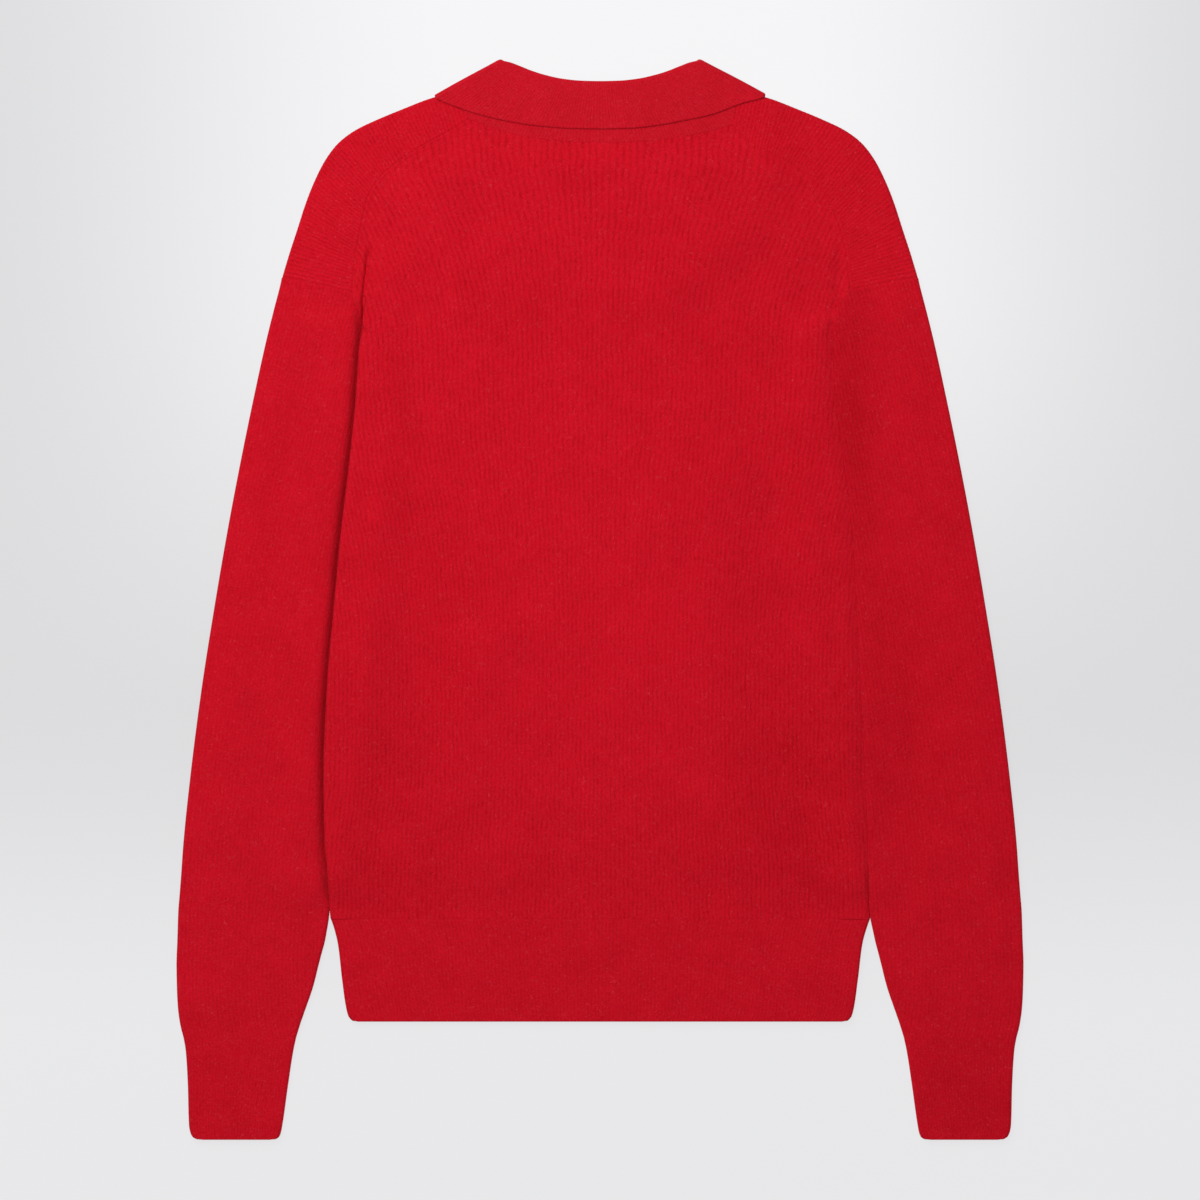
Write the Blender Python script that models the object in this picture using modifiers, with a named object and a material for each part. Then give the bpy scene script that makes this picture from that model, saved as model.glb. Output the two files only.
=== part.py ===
"""A knitted sweater with a folded collar, laid flat on its front with its back up.

X runs across the garment, Y from the cuffs up to the collar and Z up from the surface that it lies on.
Every piece is a wall of cloth: its outer face is lofted through sections, and a Solidify thickens it inwards.
"""

import math
from collections import namedtuple

import bpy
import numpy as np

# Cloth and seams
WALL = 0.0024             # thickness of the brushed knit
SEAM_GAP = 0.0004         # clearance between pieces that are sewn edge to edge
LAYER_GAP = 0.0003        # clearance between cloth and the cloth that it lies on
INNER_AIR = 0.0006        # air between the two layers of every flattened tube
FOLD_AIR = 0.0012         # air inside the body's side folds
UNDERARM_AIR = 0.0024     # and where they open into the armholes
BODY_PUFF = 0.0020        # air between the body's two panels, away from their edges
PUFF_REACH = 0.045        # distance from an edge over which that air builds up

# Cloth that folds back under itself has a round edge, with points at these angles from its top, in
# degrees. On a body panel the round ends in an upright strip at the side seam, and opens in two steps at
# the underarm.
TUBE_FOLD = WALL + INNER_AIR / 2
FOLD_ANGLES = (90, 60, 30, 0)
SEAM_STRIP = 0.0008
SEAM_ANGLES = (90, 90, 55, 25, 0)
OPENING_ANGLES = (68, 58, 42, 22, 0)
UNDERARM_ANGLES = (45, 34, 22, 11, 0)

# Cloth that lies on other cloth is full height up to a few millimetres past it, and then slopes down.
SLOPE_START = 0.0035
SLEEVE_SLOPE = 0.034
LEAF_AIR = 0.0006         # air between the collar's leaf and what it lies on
COLLAR_LIFT = WALL + LEAF_AIR
COLLAR_SLOPE = 0.034

# Columns of points on a body panel: distances from its sides, and the number of cells between them. Cells
# across the other pieces between their rounded folds.
SIDE_COLUMNS = (0.0130, 0.0220, 0.0330, 0.0480)
BODY_CELLS = 6
HEM_CELLS = 6
SADDLE_CELLS = 3
SLEEVE_CELLS = 3

# The body below the armholes, from the hem band up. left and right are its side folds at the height y,
# and lift is how far they ride up over the sleeves. A sleeve's outer fold lies opposite at sleeve_x,
# sleeve_y, and its inner fold is tucked in under the body's side by tuck.
Side = namedtuple("Side", "y left right lift sleeve_x sleeve_y tuck")
SIDES = (
    Side(-0.2298, -0.1938, 0.1944, 0.0000, 0.3038, -0.2320, -0.0010),
    Side(-0.2210, -0.1948, 0.1936, 0.0006, 0.3035, -0.2235, -0.0010),
    Side(-0.2100, -0.1956, 0.1930, 0.0032, 0.3026, -0.2125, -0.0010),
    Side(-0.1960, -0.1958, 0.1926, 0.0058, 0.3015, -0.1985, 0.0006),
    Side(-0.1750, -0.1960, 0.1922, 0.0060, 0.3000, -0.1770, 0.0060),
    Side(-0.1250, -0.1958, 0.1902, 0.0060, 0.2948, -0.1265, 0.0120),
    Side(-0.0650, -0.1938, 0.1873, 0.0060, 0.2869, -0.0650, 0.0165),
    Side(-0.0050, -0.1913, 0.1843, 0.0060, 0.2775, -0.0050, 0.0195),
    Side(0.0500, -0.1862, 0.1808, 0.0060, 0.2678, 0.0515, 0.0195),
    Side(0.1000, -0.1802, 0.1748, 0.0060, 0.2581, 0.1025, 0.0185),
    Side(0.1450, -0.1757, 0.1690, 0.0060, 0.2484, 0.1495, 0.0155),
    Side(0.1780, -0.1735, 0.1678, 0.0060, 0.2406, 0.1850, 0.0075),
    Side(0.1945, -0.1724, 0.1676, 0.0058, 0.2360, 0.2035, 0.0006),
    Side(0.2050, -0.1742, 0.1712, 0.0030, 0.2328, 0.2155, -0.0010),
)

# The armhole seam, from the underarm up to the neck, at x, y on either side. The row of stitches that
# leaves it there crosses the middle of the back and front panels at the heights back and front, and the
# saddle's wales run out to the point fold_x, fold_y of the shoulder's fold.
Armhole = namedtuple("Armhole", "x y back front fold_x fold_y")
ARMHOLE = (
    Armhole(0.1782, 0.2166, 0.2166, 0.2100, 0.2290, 0.2303),
    Armhole(0.1776, 0.2330, 0.2310, 0.2145, 0.2233, 0.2495),
    Armhole(0.1765, 0.2500, 0.2470, 0.2185, 0.2168, 0.2670),
    Armhole(0.1729, 0.2680, 0.2620, 0.2225, 0.2104, 0.2855),
    Armhole(0.1689, 0.2830, 0.2750, 0.2265, 0.2024, 0.3065),
    Armhole(0.1600, 0.2990, 0.2870, 0.2300, 0.1910, 0.3250),
    Armhole(0.1460, 0.3120, 0.2980, 0.2335, 0.1701, 0.3396),
    Armhole(0.1300, 0.3230, 0.3085, 0.2370, 0.1430, 0.3520),
    Armhole(0.1134, 0.3310, 0.3190, 0.2400, 0.1205, 0.3580),
    Armhole(0.0958, 0.3446, 0.3290, 0.2430, 0.1010, 0.3640),
)
BACK_NECK_BEND = 2.0      # power of the neckline's curve: a round back
FRONT_NECK_BEND = 1.15    # and a nearly straight V at the front

# Tubes below the body: the outer and inner fold of each section.
Tube = namedtuple("Tube", "outer_x outer_y inner_x inner_y")
SLEEVE_TOP = Tube(0.2290, 0.2299, 0.1796, 0.2163)
SLEEVE_END = (
    Tube(0.3042, -0.2450, 0.1972, -0.2420),
    Tube(0.3048, -0.2620, 0.2018, -0.2600),
    Tube(0.3045, -0.2800, 0.2066, -0.2790),
    Tube(0.3038, -0.2930, 0.2116, -0.2930),
    Tube(0.3022, -0.3050, 0.2156, -0.3050),
    Tube(0.2996, -0.3146, 0.2186, -0.3146),
)
CUFF = (
    Tube(0.2986, -0.3150, 0.2188, -0.3150),
    Tube(0.2976, -0.3240, 0.2206, -0.3240),
    Tube(0.2966, -0.3500, 0.2246, -0.3500),
    Tube(0.2956, -0.3810, 0.2290, -0.3810),
    Tube(0.2932, -0.3864, 0.2310, -0.3864),
    Tube(0.2880, -0.3884, 0.2356, -0.3884),
)
HEM = (
    Tube(0.1940, -0.2306, -0.1934, -0.2306),
    Tube(0.1936, -0.2325, -0.1930, -0.2325),
    Tube(0.1888, -0.2480, -0.1886, -0.2480),
    Tube(0.1858, -0.2720, -0.1858, -0.2720),
    Tube(0.1818, -0.2990, -0.1818, -0.2990),
    Tube(0.1776, -0.3034, -0.1776, -0.3034),
)

# The left half of the collar, from its front end round the side of the neck to the middle of the back.
# turn is how far a section has turned about the neck, 180 degrees at the front and 0 at the back. The
# stand is sewn on at base, the strip folds over at fold, and the leaf ends at edge.
Station = namedtuple("Station", "turn base_x base_y fold_x fold_y edge_x edge_y")
COLLAR = (
    Station(180, -0.0075, 0.2496, -0.0055, 0.2575, -0.0500, 0.2300),
    Station(180, -0.0325, 0.2735, -0.0215, 0.2790, -0.0680, 0.2430),
    Station(180, -0.0570, 0.3001, -0.0385, 0.3010, -0.0870, 0.2640),
    Station(180, -0.0770, 0.3232, -0.0530, 0.3240, -0.1035, 0.2900),
    Station(180, -0.0905, 0.3395, -0.0630, 0.3480, -0.1135, 0.3200),
    Station(180, -0.0975, 0.3560, -0.0690, 0.3700, -0.1160, 0.3440),
    Station(180, -0.0990, 0.3635, -0.0692, 0.3846, -0.1166, 0.3574),
    Station(135, -0.0990, 0.3635, -0.0692, 0.3846, -0.1166, 0.3574),
    Station(90, -0.0990, 0.3635, -0.0692, 0.3846, -0.1166, 0.3574),
    Station(45, -0.0990, 0.3635, -0.0692, 0.3846, -0.1166, 0.3574),
    Station(0, -0.0990, 0.3635, -0.0692, 0.3846, -0.1166, 0.3574),
    Station(0, -0.0975, 0.3560, -0.0640, 0.3864, -0.1090, 0.3552),
    Station(0, -0.0930, 0.3454, -0.0575, 0.3840, -0.0990, 0.3520),
    Station(0, -0.0800, 0.3406, -0.0490, 0.3804, -0.0830, 0.3479),
    Station(0, -0.0640, 0.3367, -0.0390, 0.3775, -0.0640, 0.3436),
    Station(0, -0.0440, 0.3330, -0.0270, 0.3749, -0.0430, 0.3406),
    Station(0, -0.0220, 0.3305, -0.0135, 0.3735, -0.0215, 0.3390),
    Station(0, 0.0000, 0.3297, 0.0000, 0.3732, 0.0000, 0.3386),
)
COLLAR_FOLD_STEPS = 5

# Soft troughs in the upper layer of the body: the line of each one, its half width and its depth.
Trough = namedtuple("Trough", "head_x head_y foot_x foot_y half_width depth")
TROUGHS = (
    Trough(-0.1675, 0.2570, -0.1650, 0.2000, 0.007, 0.0012),
    Trough(0.1700, 0.2600, 0.1640, 0.2000, 0.008, 0.0010),
    Trough(0.0870, 0.0460, 0.1500, -0.2050, 0.026, 0.0016),
    Trough(-0.1180, 0.0150, -0.1420, -0.2150, 0.022, 0.0011),
    Trough(-0.0550, 0.3050, -0.1250, 0.2500, 0.016, 0.0008),
)

# Finishes: linear colours of the plain knit and of the ribs
KNIT_RED = (0.560, 0.0075, 0.0180, 1.0)
RIB_RED = (0.500, 0.0065, 0.0160, 1.0)
KNIT_ROUGHNESS = 0.95


def smooth_step(value):
    """Rises smoothly from 0 to 1 while value does."""
    value = np.clip(value, 0.0, 1.0)
    return value * value * (3.0 - 2.0 * value)


def column(table, name):
    """One named column of a table."""
    return np.array([getattr(row, name) for row in table])


def distance_to_line(x, y, start, end):
    """Distance of the points x, y from a straight line, and how far along it they lie, from 0 to 1."""
    run_x, run_y = end[0] - start[0], end[1] - start[1]
    along = ((x - start[0]) * run_x + (y - start[1]) * run_y) / (run_x ** 2 + run_y ** 2)
    along = np.clip(along, 0.0, 1.0)
    return np.hypot(x - start[0] - along * run_x, y - start[1] - along * run_y), along


def collar_lift(x, y):
    """How far the front half of the collar's leaf raises the cloth that lies on it."""
    left = [(station.edge_x, station.edge_y) for station in COLLAR if station.turn == 180]
    outline = left + [(-edge_x, edge_y) for edge_x, edge_y in reversed(left)]
    nearest = np.full(np.shape(x), np.inf)
    inside = np.zeros(np.shape(x), dtype=bool)
    for start, end in zip(outline, outline[1:] + outline[:1]):
        nearest = np.minimum(nearest, distance_to_line(x, y, start, end)[0])
        if start[1] != end[1]:
            crossing_x = start[0] + (y - start[1]) * (end[0] - start[0]) / (end[1] - start[1])
            inside ^= ((start[1] > y) != (end[1] > y)) & (x < crossing_x)
    outside = np.where(inside, 0.0, nearest)
    return COLLAR_LIFT * smooth_step(1.0 - (outside - SLOPE_START) / COLLAR_SLOPE)


def from_sides(x, y):
    """Distance of points in the body from its nearer side fold."""
    heights = column(SIDES, "y")
    return np.minimum(x - np.interp(y, heights, column(SIDES, "left")),
                      np.interp(y, heights, column(SIDES, "right")) - x)


def sleeve_lift(x, y):
    """How far the tucked edges of the sleeves raise the body."""
    heights = column(SIDES, "y")
    lift = np.interp(y, np.append(heights, ARMHOLE[0].y), np.append(column(SIDES, "lift"), 0.0))
    tuck = np.interp(y, heights, np.maximum(column(SIDES, "tuck"), 0.0))
    return lift * smooth_step(1.0 - (from_sides(x, y) - tuck - SLOPE_START) / SLEEVE_SLOPE)


def trough_depth(x, y):
    """Depth of the soft troughs at the points x, y."""
    depth = np.zeros(np.shape(x))
    for trough in TROUGHS:
        head, foot = (trough.head_x, trough.head_y), (trough.foot_x, trough.foot_y)
        away, along = distance_to_line(x, y, head, foot)
        ends = np.sin(math.pi * (0.12 + 0.76 * along))
        depth += trough.depth * ends * np.exp(-(away / trough.half_width) ** 2)
    return depth


def across_tube(width, cells, inner_fold=True):
    """Distances from the outer fold across a flattened tube, and the share of its height at each of them."""
    angles = np.radians(FOLD_ANGLES)
    rounded = TUBE_FOLD * (1.0 - np.sin(angles))
    last = width - TUBE_FOLD if inner_fold else width
    flat = np.linspace(TUBE_FOLD, last, cells + 1)[1:]
    away = np.concatenate([rounded, flat])
    share = np.concatenate([np.cos(angles), np.ones(cells)])
    if inner_fold:
        away = np.concatenate([away, width - rounded[-2::-1]])
        share = np.concatenate([share, np.cos(angles)[-2::-1]])
    return away, share


def tube_section(outer, inner, cells, inner_fold=True):
    """One section of a flattened tube: over the top from the inner side, round the outer fold, back below.

    Without an inner fold it is open there, where it is sewn to the body.
    """
    outer, inner = np.array(outer), np.array(inner)
    width = np.linalg.norm(inner - outer)
    away, share = across_tube(width, cells, inner_fold)
    plan = outer + np.outer(away / width, inner - outer)
    middle = collar_lift(plan[:, 0], plan[:, 1]) + TUBE_FOLD
    half = share * TUBE_FOLD
    top = np.column_stack([plan, middle + half])[::-1]
    below = np.column_stack([plan, middle - half])[1:]
    if inner_fold:
        below = below[:-1]
    return np.concatenate([top, below])


def cloth(name, rows, colour, closed=False, mirrored=False):
    """A piece of cloth whose outer face runs through rows of points."""
    count = len(rows[0])
    vertices = [tuple(map(float, point)) for row in rows for point in row]
    faces = []
    for row in range(len(rows) - 1):
        here, there = row * count, (row + 1) * count
        for point in range(count if closed else count - 1):
            following = (point + 1) % count
            faces.append((here + point, here + following, there + following, there + point))
    mesh = bpy.data.meshes.new(name)
    mesh.from_pydata(vertices, [], faces)
    mesh.shade_smooth()
    mesh.materials.append(knit_material(name, colour))
    piece = bpy.data.objects.new(name, mesh)
    if mirrored:
        mirror = piece.modifiers.new("other half", "MIRROR")
        mirror.merge_threshold = 0.00005
    wall = piece.modifiers.new("wall", "SOLIDIFY")
    wall.thickness = WALL
    wall.offset = -1.0
    wall.use_even_offset = True
    return piece


def knit_material(name, colour):
    """A soft, matt knit."""
    material = bpy.data.materials.new(name)
    material.use_nodes = True
    shader = material.node_tree.nodes["Principled BSDF"]
    shader.inputs["Base Color"].default_value = colour
    shader.inputs["Roughness"].default_value = KNIT_ROUGHNESS
    shader.inputs["Metallic"].default_value = 0.0
    return material


PanelRow = namedtuple("PanelRow", "left right end_y middle_y angles seam_gap")


def panel_rows(on_top):
    """The rows of stitches of the back panel, which is on top, or of the front panel."""
    underarm = ARMHOLE[0]
    angles = [SEAM_ANGLES] * (len(SIDES) - 2) + [OPENING_ANGLES, UNDERARM_ANGLES]
    gaps = [LAYER_GAP] * (len(SIDES) - 3) + [3 * LAYER_GAP, 0.0, 0.0]
    rows = []
    for side, fold_angles, seam_gap in zip(SIDES, angles, gaps):
        drop = 0.0 if on_top else (underarm.y - underarm.front) * smooth_step(side.y / underarm.y)
        rows.append(PanelRow(side.left, side.right, side.y, side.y - drop, fold_angles, seam_gap))
    for seam in ARMHOLE:
        rows.append(PanelRow(-seam.x, seam.x, seam.y, seam.back if on_top else seam.front, None, 0.0))
    return rows


def fold_air(y):
    """Air inside the side folds at the height y, and at the armholes' edges."""
    return np.interp(y, [SIDES[-5].y, SIDES[-3].y, SIDES[-1].y, ARMHOLE[0].y],
                     [FOLD_AIR, UNDERARM_AIR, UNDERARM_AIR, INNER_AIR])


def body_air(x, y, from_side):
    """Air between the two panels: none at their edges, more in the middle, less along the troughs."""
    neck = ARMHOLE[-1]
    neckline = neck.back + (neck.y - neck.back) * np.abs(x / neck.x) ** BACK_NECK_BEND
    from_edge = np.minimum(np.minimum(from_side, neckline - y), y - SIDES[0].y)
    puff = BODY_PUFF * smooth_step(from_edge / PUFF_REACH)
    in_fold = (fold_air(y) - INNER_AIR) * smooth_step(2.0 - from_side / SIDE_COLUMNS[0])
    dip = trough_depth(x, y) * smooth_step(from_side / WALL - 1.5)
    return INNER_AIR + np.maximum(np.maximum(puff, in_fold) - dip, 0.0)


def panel_section(row, on_top):
    """One row of a body panel, from its left side to its right side."""
    ends = len(SEAM_ANGLES)
    radius = WALL + fold_air(row.end_y) / 2
    if row.angles:
        angles = np.radians(row.angles)
        near = np.append(radius * (1.0 - np.sin(angles)), SIDE_COLUMNS)
    else:
        angles = np.zeros(ends)
        near = np.append(np.linspace(0.0, radius, ends), SIDE_COLUMNS)
    width = row.right - row.left
    flat = np.linspace(near[-1], width - near[-1], BODY_CELLS + 1)[1:-1]
    away = np.concatenate([near, flat, width - near[::-1]])
    share = np.ones(len(away))
    share[:ends] = np.cos(angles)
    share[-ends:] = np.cos(angles)[::-1]
    x = row.left + away
    bend = BACK_NECK_BEND if on_top else FRONT_NECK_BEND
    y = row.middle_y + (row.end_y - row.middle_y) * np.abs(2 * away / width - 1.0) ** bend

    height = 2 * WALL + body_air(x, y, np.minimum(away, width - away))
    half = share * height / 2
    half[[0, -1]] = np.maximum(half[[0, -1]], row.seam_gap / 2)
    half[[1, -2]] = np.maximum(half[[1, -2]], row.seam_gap / 2 + SEAM_STRIP)
    middle = np.maximum(sleeve_lift(x, y), collar_lift(x, y)) + height / 2
    return np.column_stack([x, y, middle + half if on_top else middle - half])


def body_panel(name, on_top):
    """The back panel, which lies on top, or the front panel beneath it."""
    rows = [panel_section(row, on_top) for row in panel_rows(on_top)]
    if not on_top:
        rows = [row[::-1] for row in rows]
    return cloth(name, rows, KNIT_RED)


def hem_band():
    """The ribbed band below both panels."""
    rows = [tube_section(tube[:2], tube[2:], HEM_CELLS) for tube in reversed(HEM)]
    return cloth("hem_band", rows, RIB_RED, closed=True)


def sided(rows, side):
    """Sections of a right-hand tube as they are, or mirrored to the left with their outer side out."""
    if side > 0:
        return rows
    return [(row * (-1.0, 1.0, 1.0))[::-1] for row in rows]


def sleeve(name, side):
    """A sleeve, from the seam under its saddle to its cuff, tucked in under the body's side."""
    tubes = [SLEEVE_TOP]
    for row in reversed(SIDES):
        edge = row.right if side > 0 else -row.left
        tubes.append(Tube(row.sleeve_x, row.sleeve_y, edge - row.tuck, row.y))
    tubes.extend(SLEEVE_END)
    rows = [tube_section(tube[:2], tube[2:], SLEEVE_CELLS) for tube in reversed(tubes)]
    return cloth(name, sided(rows, side), KNIT_RED, closed=True)


def cuff(name, side):
    """The ribbed cuff of a sleeve."""
    rows = [tube_section(tube[:2], tube[2:], SLEEVE_CELLS) for tube in reversed(CUFF)]
    return cloth(name, sided(rows, side), RIB_RED, closed=True)


def saddle(name, side):
    """The strip from the neck down to the sleeve, folded over the shoulder between its two armhole seams."""
    rows = []
    for seam in ARMHOLE:
        fold = np.array([seam.fold_x, seam.fold_y])
        edge = np.array([seam.x, seam.y])
        outwards = (fold - edge) / np.linalg.norm(fold - edge)
        rows.append(tube_section(fold, edge + SEAM_GAP * outwards, SADDLE_CELLS, inner_fold=False))
    return cloth(name, sided(rows, side), KNIT_RED)


def collar_section(station):
    """One section of the collar: up the stand's neck side, over the fold and down the leaf's outer side."""
    base = np.array([station.base_x, station.base_y])
    fold = np.array([station.fold_x, station.fold_y])
    edge = np.array([station.edge_x, station.edge_y])
    stand = (base - fold) / np.linalg.norm(base - fold)
    leaf = (edge - fold) / np.linalg.norm(edge - fold)
    over = (stand + leaf) / np.linalg.norm(stand + leaf)
    turn = math.radians(station.turn)
    outwards = np.array([over[1] * math.sin(turn), -over[0] * math.sin(turn), math.cos(turn)])

    inner = LAYER_GAP / 2
    radius = WALL + LEAF_AIR / 2
    points = [(base, inner), ((base + fold) / 2, inner)]
    for step in range(COLLAR_FOLD_STEPS + 1):
        angle = math.pi * step / COLLAR_FOLD_STEPS
        side = stand + (leaf - stand) * step / COLLAR_FOLD_STEPS
        plan = fold + side * radius * (1.0 - math.sin(angle))
        points.append((plan, inner + radius * (1.0 - math.cos(angle))))
    outer = inner + 2 * radius
    points.extend([((edge + fold) / 2, outer), (edge, outer)])
    centre = np.array([0.0, 0.0, inner + 2 * radius])
    return np.array([np.append(plan, 0.0) + centre + outwards * away for plan, away in points])


def collar():
    """The ribbed collar, one strip round the neck, its two front ends at the foot of the V."""
    rows = [collar_section(station) for station in COLLAR]
    return cloth("collar", rows, RIB_RED, mirrored=True)


def main():
    for existing in list(bpy.data.objects):
        bpy.data.objects.remove(existing, do_unlink=True)
    garment = bpy.data.collections.new("sweater")
    bpy.context.scene.collection.children.link(garment)
    pieces = [body_panel("back_panel", True), body_panel("front_panel", False), hem_band(), collar()]
    for side_name, side in (("left", -1), ("right", 1)):
        pieces.append(saddle("saddle_" + side_name, side))
        pieces.append(sleeve("sleeve_" + side_name, side))
        pieces.append(cuff("cuff_" + side_name, side))
    for piece in pieces:
        garment.objects.link(piece)


main()
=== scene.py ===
"""Visual model of a knitted sweater with a folded collar, laid flat with its back up.

Every piece of cloth is a closed shell. Its outer face runs through smooth sections and carries its wales as
real ridges, and its inner face follows it at the thickness of the knit. Lengths in the tables are in
millimetres.
"""

import logging
import math
from dataclasses import dataclass
from enum import Enum
from typing import NamedTuple, Sequence

import bpy
import numpy as np
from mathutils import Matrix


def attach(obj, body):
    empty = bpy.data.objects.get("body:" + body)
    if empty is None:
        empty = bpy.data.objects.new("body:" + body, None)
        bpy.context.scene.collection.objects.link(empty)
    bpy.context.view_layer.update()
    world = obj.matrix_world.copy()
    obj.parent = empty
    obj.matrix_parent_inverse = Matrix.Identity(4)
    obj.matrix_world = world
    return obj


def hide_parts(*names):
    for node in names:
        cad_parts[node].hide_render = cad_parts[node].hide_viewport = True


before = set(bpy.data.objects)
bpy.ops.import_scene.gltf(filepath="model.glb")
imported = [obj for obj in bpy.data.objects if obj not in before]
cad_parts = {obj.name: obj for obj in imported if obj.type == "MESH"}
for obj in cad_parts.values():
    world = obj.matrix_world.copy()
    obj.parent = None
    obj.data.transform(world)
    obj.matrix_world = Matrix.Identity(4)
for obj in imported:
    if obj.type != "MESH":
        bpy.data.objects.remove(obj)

logging.basicConfig(level=logging.INFO, format="%(message)s")
log = logging.getLogger("sweater")

MM = 0.001
KNIT_UV = "knit"
CREASE_SHADE_ATTRIBUTE = "painted_crease_shade"

Array = np.ndarray
Socket = bpy.types.NodeSocket


# Curves and surfaces


def smooth_step(value: Array) -> Array:
    """Rises smoothly from 0 to 1 while value does."""
    value = np.clip(value, 0.0, 1.0)
    return value * value * (3.0 - 2.0 * value)


def bell(value: Array) -> Array:
    """1 at zero, falling smoothly to nothing on both sides."""
    return np.exp(-(value**2))


def through(at: Array, knots: Sequence[float], values: Sequence[float]) -> Array:
    """A smooth curve through a table, without overshoot (monotone cubic pieces).

    Args:
        at: Where the curve is read; clipped to the table's range.
        knots: Rising positions of the table's rows.
        values: The value at each of them.

    Returns:
        The curve's values.
    """
    knots, values = np.asarray(knots, float), np.asarray(values, float)
    steps = np.diff(knots)
    slopes = np.diff(values) / steps
    tangents = np.concatenate([slopes[:1], np.zeros(len(slopes) - 1), slopes[-1:]])
    before, after = slopes[:-1], slopes[1:]
    turning = before * after <= 0.0
    weight_a, weight_b = 2.0 * steps[1:] + steps[:-1], steps[1:] + 2.0 * steps[:-1]
    safe_before, safe_after = np.where(turning, 1.0, before), np.where(turning, 1.0, after)
    mean = (weight_a + weight_b) / (weight_a / safe_before + weight_b / safe_after)
    tangents[1:-1] = np.where(turning, 0.0, mean)
    at = np.clip(at, knots[0], knots[-1])
    cell = np.clip(np.searchsorted(knots, at, side="right") - 1, 0, len(steps) - 1)
    t = (at - knots[cell]) / steps[cell]
    return (
        values[cell] * (1.0 + 2.0 * t) * (1.0 - t) ** 2
        + values[cell + 1] * t * t * (3.0 - 2.0 * t)
        + steps[cell] * (tangents[cell] * t * (1.0 - t) ** 2 - tangents[cell + 1] * t * t * (1.0 - t))
    )


def column(table: Sequence[NamedTuple], name: str) -> Array:
    """One named column of a table, from its first row to the last."""
    return np.array([getattr(row, name) for row in table], float)


def points_of(table: Sequence[NamedTuple], name: str) -> Array:
    """The points in a table's two columns called name_x and name_y."""
    return np.stack([column(table, name + "_x"), column(table, name + "_y")], axis=1)


def line_through(at: Array, knots: Sequence[float], points: Array) -> Array:
    """A smooth curve in the plane, with one of the points at each knot."""
    return np.stack([through(at, knots, points[:, axis]) for axis in (0, 1)], axis=1)


def chord_lengths(points: Array) -> Array:
    """Distance of a chain's points from its first point, along the chain."""
    return np.concatenate([[0.0], np.cumsum(np.hypot(*np.diff(points, axis=0).T))])


def unit(vectors: Array) -> Array:
    """The directions of vectors."""
    return vectors / np.maximum(np.linalg.norm(vectors, axis=-1, keepdims=True), 1e-12)


def distance_to_chain(x: Array, y: Array, chain: Array) -> tuple[Array, Array, Array]:
    """Distance of points from a chain of straight segments.

    Args:
        x: First coordinates of the points.
        y: Second coordinates of the points.
        chain: The chain's points, one row each.

    Returns:
        The distances, their sign (positive to the right of the chain's run) and the share of the chain's
        length at which each point is nearest to it.
    """
    nearest = np.full(np.shape(x), np.inf)
    side = np.zeros(np.shape(x))
    share = np.zeros(np.shape(x))
    lengths = chord_lengths(chain)
    for index, (start, end) in enumerate(zip(chain[:-1], chain[1:])):
        run = end - start
        length = math.hypot(*run)
        along = np.clip(((x - start[0]) * run[0] + (y - start[1]) * run[1]) / length**2, 0.0, 1.0)
        away_x, away_y = x - start[0] - along * run[0], y - start[1] - along * run[1]
        away = np.hypot(away_x, away_y)
        closer = away < nearest
        nearest = np.where(closer, away, nearest)
        side = np.where(closer, np.sign(away_x * run[1] - away_y * run[0]), side)
        share = np.where(closer, (lengths[index] + along * length) / lengths[-1], share)
    return nearest, side, share


def uneven(x: Array, y: Array, size: float, seed: int) -> Array:
    """Soft unevenness between about -1 and 1, the same on each run.

    Args:
        x: First coordinates.
        y: Second coordinates.
        size: Typical distance between a rise and the next.
        seed: Picks one of many patterns.

    Returns:
        The unevenness at each point.
    """
    random = np.random.default_rng(seed)
    total = np.zeros(np.shape(x))
    waves = 7
    for _ in range(waves):
        heading = random.uniform(0.0, math.pi)
        pitch = size * random.uniform(0.7, 1.6)
        phase = random.uniform(0.0, 2.0 * math.pi)
        total += np.sin(2.0 * math.pi * (x * math.cos(heading) + y * math.sin(heading)) / pitch + phase)
    return total / math.sqrt(waves)


# Finishes


class Slot(Enum):
    """The record's material slots."""

    KNIT = "knit"
    RIB = "rib"


class TonePatch(NamedTuple):
    """A broad soft oval, in metres, where the colour is made lighter or darker: painted shade and painted
    light on the body, a painted shadow on the right sleeve and a darker patch on the right cuff.
    """

    x: float
    y: float
    half_width: float
    half_height: float
    shade: float


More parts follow.
